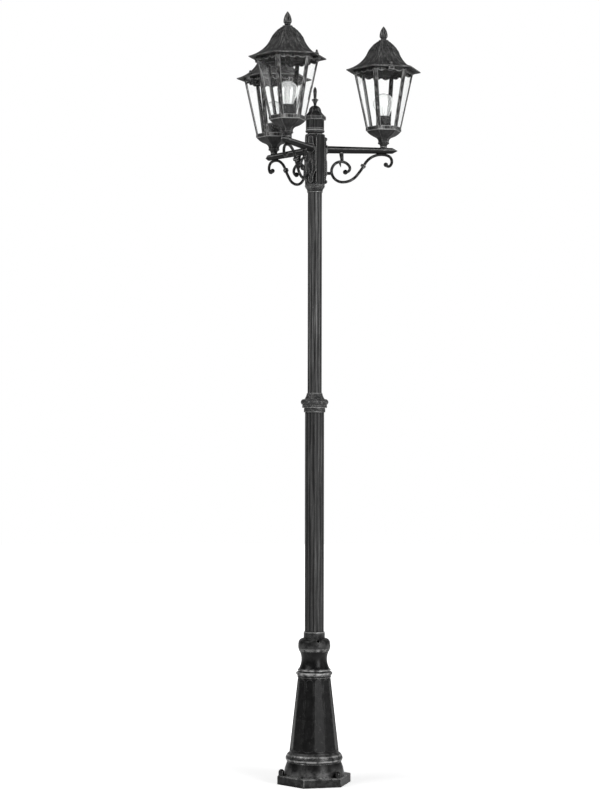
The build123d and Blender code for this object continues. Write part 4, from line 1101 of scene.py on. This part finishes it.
# The finishes of a lantern, and which of them each piece has
LANTERN_LOOKS = {
    "black_and_silver": AntiquedCasting(
        stroke=Stroke.UPRIGHT, wash=0.02, drag_share=0.75, drag_low=0.44, fleck=0.3, outside_only=True
    ),
    "bowl_darker": AntiquedCasting(stroke=Stroke.FANNED, wash=0.04, drag_share=0.12, fleck=0.2),
    "roof_silvered": AntiquedCasting(
        stroke=Stroke.FANNED,
        wash=0.085,
        drag_share=0.42,
        fleck=0.35,
        edge_width=0.002,
        edge_share=0.7,
        roughness=0.52,
        grain=0.00012,
        outside_only=True,
    ),
    "acorn_silvered": AntiquedCasting(
        stroke=Stroke.FANNED, drag_share=1.0, drag_low=0.48, drag_high=0.68, fleck=0.15
    ),
    "thumbscrew_dark": AntiquedCasting(drag_share=0.10),
    "leaves_silvered": AntiquedCasting(
        stroke=Stroke.FANNED, wash=0.05, drag_share=0.5, edge_width=0.0012, edge_share=0.8, roughness=0.5
    ),
}
LANTERN_PIECES = {
    "bowl": "bowl_darker",
    "cage": "black_and_silver",
    "roof": "roof_silvered",
    "acorn": "acorn_silvered",
    "leaves": "leaves_silvered",
    "thumbscrew_a": "thumbscrew_dark",
    "thumbscrew_b": "thumbscrew_dark",
}


def lantern_finishes(number: int) -> dict[str, bpy.types.Material]:
    """The finishes of one lantern.

    Args:
        number: The lantern's number.

    Returns:
        A finish for each piece.
    """
    centre = axis_of(f"lantern_{number}_sleeve")
    made = {look: finish.material(f"lantern_{number}_{look}", centre) for look, finish in LANTERN_LOOKS.items()}
    return {piece: made[look] for piece, look in LANTERN_PIECES.items()}


def shared_finishes() -> dict[str, bpy.types.Material]:
    """The finishes that all three lanterns share.

    Returns:
        A finish for each piece.
    """
    panes = ClearGlass(bend=1.08, clearness=0.994, tint=(0.997, 1.0, 0.998))
    bulb = ClearGlass(bend=1.3, clearness=0.87, waves=Cloud(40.0, 1.0))
    sleeve = AntiquedCasting(edge_share=0.3, drag_share=0.08, grain=0.0001)
    nickel = TurnedMetal(colour=(0.55, 0.53, 0.48), worn=(0.72, 0.70, 0.66), roughness=0.25)
    wire = TurnedMetal(colour=(0.45, 0.45, 0.44), worn=(0.6, 0.6, 0.6), roughness=0.35, metallic=0.5)
    return {
        "panes": panes.material("pane_glass"),
        "bulb_glass": bulb.material("bulb_glass"),
        "lampholder": GlazedClay().material("holder_porcelain"),
        "sleeve": sleeve.material("sleeve_black"),
        "bulb_cap": nickel.material("cap_nickel"),
        "bulb_mount": wire.material("filament_wire"),
    }


@dataclass
class Lantern:
    """One lantern: bowl, cage, panes, roof, acorn, lampholder and bulb."""

    number: int
    finishes: dict[str, bpy.types.Material]
    clamped_turns_deg: tuple[float, ...] = (5.0, -1.0, 4.5)
    dome: LeafedDome = LeafedDome(
        foot_r=0.0500,
        foot_z=2.1198,
        top_r=0.0145,
        top_z=2.1583,
        bulge=0.0040,
        courses=((0.20, 0.20, 4), (0.44, 0.19, 3), (0.66, 0.16, 3), (0.85, 0.12, 2)),
    )
    bud: LobedBud = LobedBud(
        start=(0.0030, 2.1600),
        steps=(
            (0.0056, 2.16055, 0.0001),
            (0.0056, 2.16355, -0.0004),
            (0.0078, 2.16355, 0.0001),
            (0.0078, 2.16705, 0.0012),
            (0.0074, 2.16705, 0.0001),
            (0.0119, 2.17205, 0.0012),
            (0.0007, 2.20155, 0.0030),
            (0.0, 2.20155, -0.0001),
        ),
        bud_foot=2.1671,
        bud_top=2.2010,
    )

    def node(self, piece: str) -> str:
        """Name of one of this lantern's nodes."""
        return f"lantern_{self.number}_{piece}"

    def turn_deg(self) -> float:
        """How far the lantern's corners are turned from +X: the arm's direction and how it was clamped."""
        x, y, _ = axis_of(self.node("sleeve"))
        return math.degrees(math.atan2(y, x)) + self.clamped_turns_deg[self.number - 1]

    def build(self) -> None:
        """Makes the leaves on the roof and the bud on top, in the finishes named leaves and acorn."""
        centre = axis_of(self.node("sleeve"))
        body = f"roof_{self.number}"
        points = self.dome.points(centre, self.turn_deg())
        add_surface(self.node("roof_leaves"), points, body, self.finishes["leaves"])
        points = self.bud.points(centre, self.turn_deg())
        bud = add_surface(self.node("acorn_bud"), points, body, self.finishes["acorn"])
        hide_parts(self.node("acorn"))

    def dress(self) -> None:
        """Gives every piece of the lantern its finish."""
        for piece, material in self.finishes.items():
            if self.node(piece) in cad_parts:
                dress(self.node(piece), material)


@dataclass(frozen=True)
class SoftLamp:
    """A rectangular lamp: where it stands, what it faces, its width and height, and its power in watts."""

    name: str
    stand: Point
    aim: Point
    width: float
    tall: float
    power: float

    def add(self) -> None:
        """Adds the lamp to the scene, unseen by the camera."""
        data = bpy.data.lights.new(self.name, "AREA")
        data.shape = "RECTANGLE"
        data.size, data.size_y = self.width, self.tall
        data.energy = self.power
        lamp = bpy.data.objects.new(self.name, data)
        lamp.location = self.stand
        lamp.rotation_euler = (Vector(self.aim) - Vector(self.stand)).to_track_quat("-Z", "Y").to_euler()
        lamp.visible_camera = False
        bpy.context.scene.collection.objects.link(lamp)


@dataclass
class Studio:
    """White surroundings, soft lamps and the camera at the photo's viewing angle.

    The lamps are a tall key at the front right, strips at the right and behind the left, and one at the upper left.
    """

    distance: float = 6.009
    height: float = 0.985
    focal_px: float = 2070.0
    tilt_deg: float = 1.17
    arm_view_deg: float = 7.35
    axis_px: float = 314.6
    roll_deg: float = 0.09
    sensor: float = 36.0
    clip_end: float = 100.0
    floor_r: float = 14.0
    floor_corners: int = 96
    floor_colour: Colour = (0.80, 0.80, 0.80)
    floor_roughness: float = 0.9
    floor_gloss: float = 0.42
    floor_glow: Line = (0.72, 0.5)
    floor_fade: Step = (0.15, 1.2)
    fill_light: float = 0.09
    room_light: float = 0.03
    wall_light: float = 0.32
    wall_lean: float = 0.05
    wall_step: Step = (0.25, 0.95)
    lamps: tuple[SoftLamp, ...] = (
        SoftLamp("key", (2.8, -4.6, 2.0), (0.0, 0.0, 1.1), 1.5, 3.4, 140.0),
        SoftLamp("right", (4.4, -0.6, 2.0), (0.0, 0.0, 1.1), 1.0, 3.2, 14.0),
        SoftLamp("left_rim", (-1.8, 3.4, 1.6), (0.0, 0.0, 1.1), 0.8, 3.0, 3.0),
        SoftLamp("upper_left", (-3.6, -1.6, 3.8), (0.0, 0.0, 1.9), 2.6, 2.6, 75.0),
    )

    def build(self) -> None:
        """Sets up the world, the floor, the lamps and the camera."""
        bpy.context.scene.view_settings.view_transform = "Standard"
        self.world()
        self.floor()
        for lamp in self.lamps:
            lamp.add()
        self.camera()

    def camera(self) -> None:
        """Stands the camera where the photo was taken and aims it."""
        data = bpy.data.cameras.new("photo_camera")
        data.sensor_fit = "AUTO"
        data.sensor_width = self.sensor
        data.lens = self.sensor * self.focal_px / max(PHOTO_WIDTH, PHOTO_HEIGHT)
        data.clip_end = self.clip_end
        camera = bpy.data.objects.new("photo_camera", data)
        bpy.context.scene.collection.objects.link(camera)
        stand = math.radians(-90.0 - self.arm_view_deg)
        camera.location = (self.distance * math.cos(stand), self.distance * math.sin(stand), self.height)
        pan = math.atan2(self.axis_px - PHOTO_WIDTH / 2, self.focal_px)
        look = stand + math.pi + pan
        level = Euler((math.radians(90.0 + self.tilt_deg), 0.0, look - math.pi / 2)).to_matrix()
        camera.rotation_euler = (level @ Matrix.Rotation(math.radians(self.roll_deg), 3, "Z")).to_euler()
        bpy.context.scene.camera = camera
        LOG.info("camera stands %.2f m away", self.distance)

    def world(self) -> None:
        """White to the eye and through glass. Gloss meets a pale wall behind the post and a dim room in front."""
        world = bpy.data.worlds.new("white_studio")
        bpy.context.scene.world = world
        world.use_nodes = True
        tree = Tree.of_world(world)
        camera, gloss, through = tree.rays("Camera", "Glossy", "Transmission")
        coords = tree.add("ShaderNodeTexCoord")
        _, away, up = tree.parts(coords.outputs["Generated"])
        wall = (away + up * self.wall_lean).above(*self.wall_step)
        room = wall.line(self.room_light, self.wall_light - self.room_light)
        clear = (camera + through).clamped()
        unseen = gloss * room + (1.0 - gloss) * self.fill_light
        strength = clear + (1.0 - clear) * unseen
        sky = tree.add("ShaderNodeBackground", None, {"Color": WHITE, "Strength": strength})
        tree.join(sky.outputs[0], tree.output.inputs["Surface"])

    def floor(self) -> None:
        """Pale round floor that fades to white away from the post and keeps the post's shadow."""
        turns = np.linspace(0.0, 2 * math.pi, self.floor_corners, endpoint=False)
        rim = np.stack([np.cos(turns), np.sin(turns), np.zeros_like(turns)], axis=1) * self.floor_r
        mesh = bpy.data.meshes.new("floor")
        mesh.from_pydata(rim.tolist(), [], [list(range(len(turns)))])
        floor = bpy.data.objects.new("floor", mesh)
        bpy.context.scene.collection.objects.link(floor)
        tree = Tree("pale_floor")
        tree.set(Base_Color=(*self.floor_colour, 1.0), Roughness=self.floor_roughness, Specular_IOR_Level=0.0)
        x, y, _ = tree.parts(tree.place())
        camera, gloss, through = tree.rays("Camera", "Glossy", "Transmission")
        seen = (camera + gloss * self.floor_gloss + through).clamped()
        distance = (x * x + y * y) ** 0.5
        strength = seen * distance.above(*self.floor_fade).line(*self.floor_glow)
        glow = tree.add("ShaderNodeEmission", None, {"Strength": strength})
        total = tree.add("ShaderNodeAddShader", None, {0: tree.shader.outputs[0], 1: glow.outputs[0]})
        tree.join(total.outputs[0], tree.output.inputs["Surface"])
        mesh.materials.append(tree.material)


def main() -> None:
    """Builds and dresses the post, the hub, the arms, the lanterns and the studio, in that order."""
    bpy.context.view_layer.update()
    Post().dress()
    hub = Hub()
    hub.build()
    hub.dress()
    for number in ARMS:
        Arm(number).dress()
    shared = shared_finishes()
    for number in ARMS:
        lantern = Lantern(number, lantern_finishes(number) | shared)
        lantern.build()
        lantern.dress()
    Studio().build()


if __name__ == "__main__":
    main()
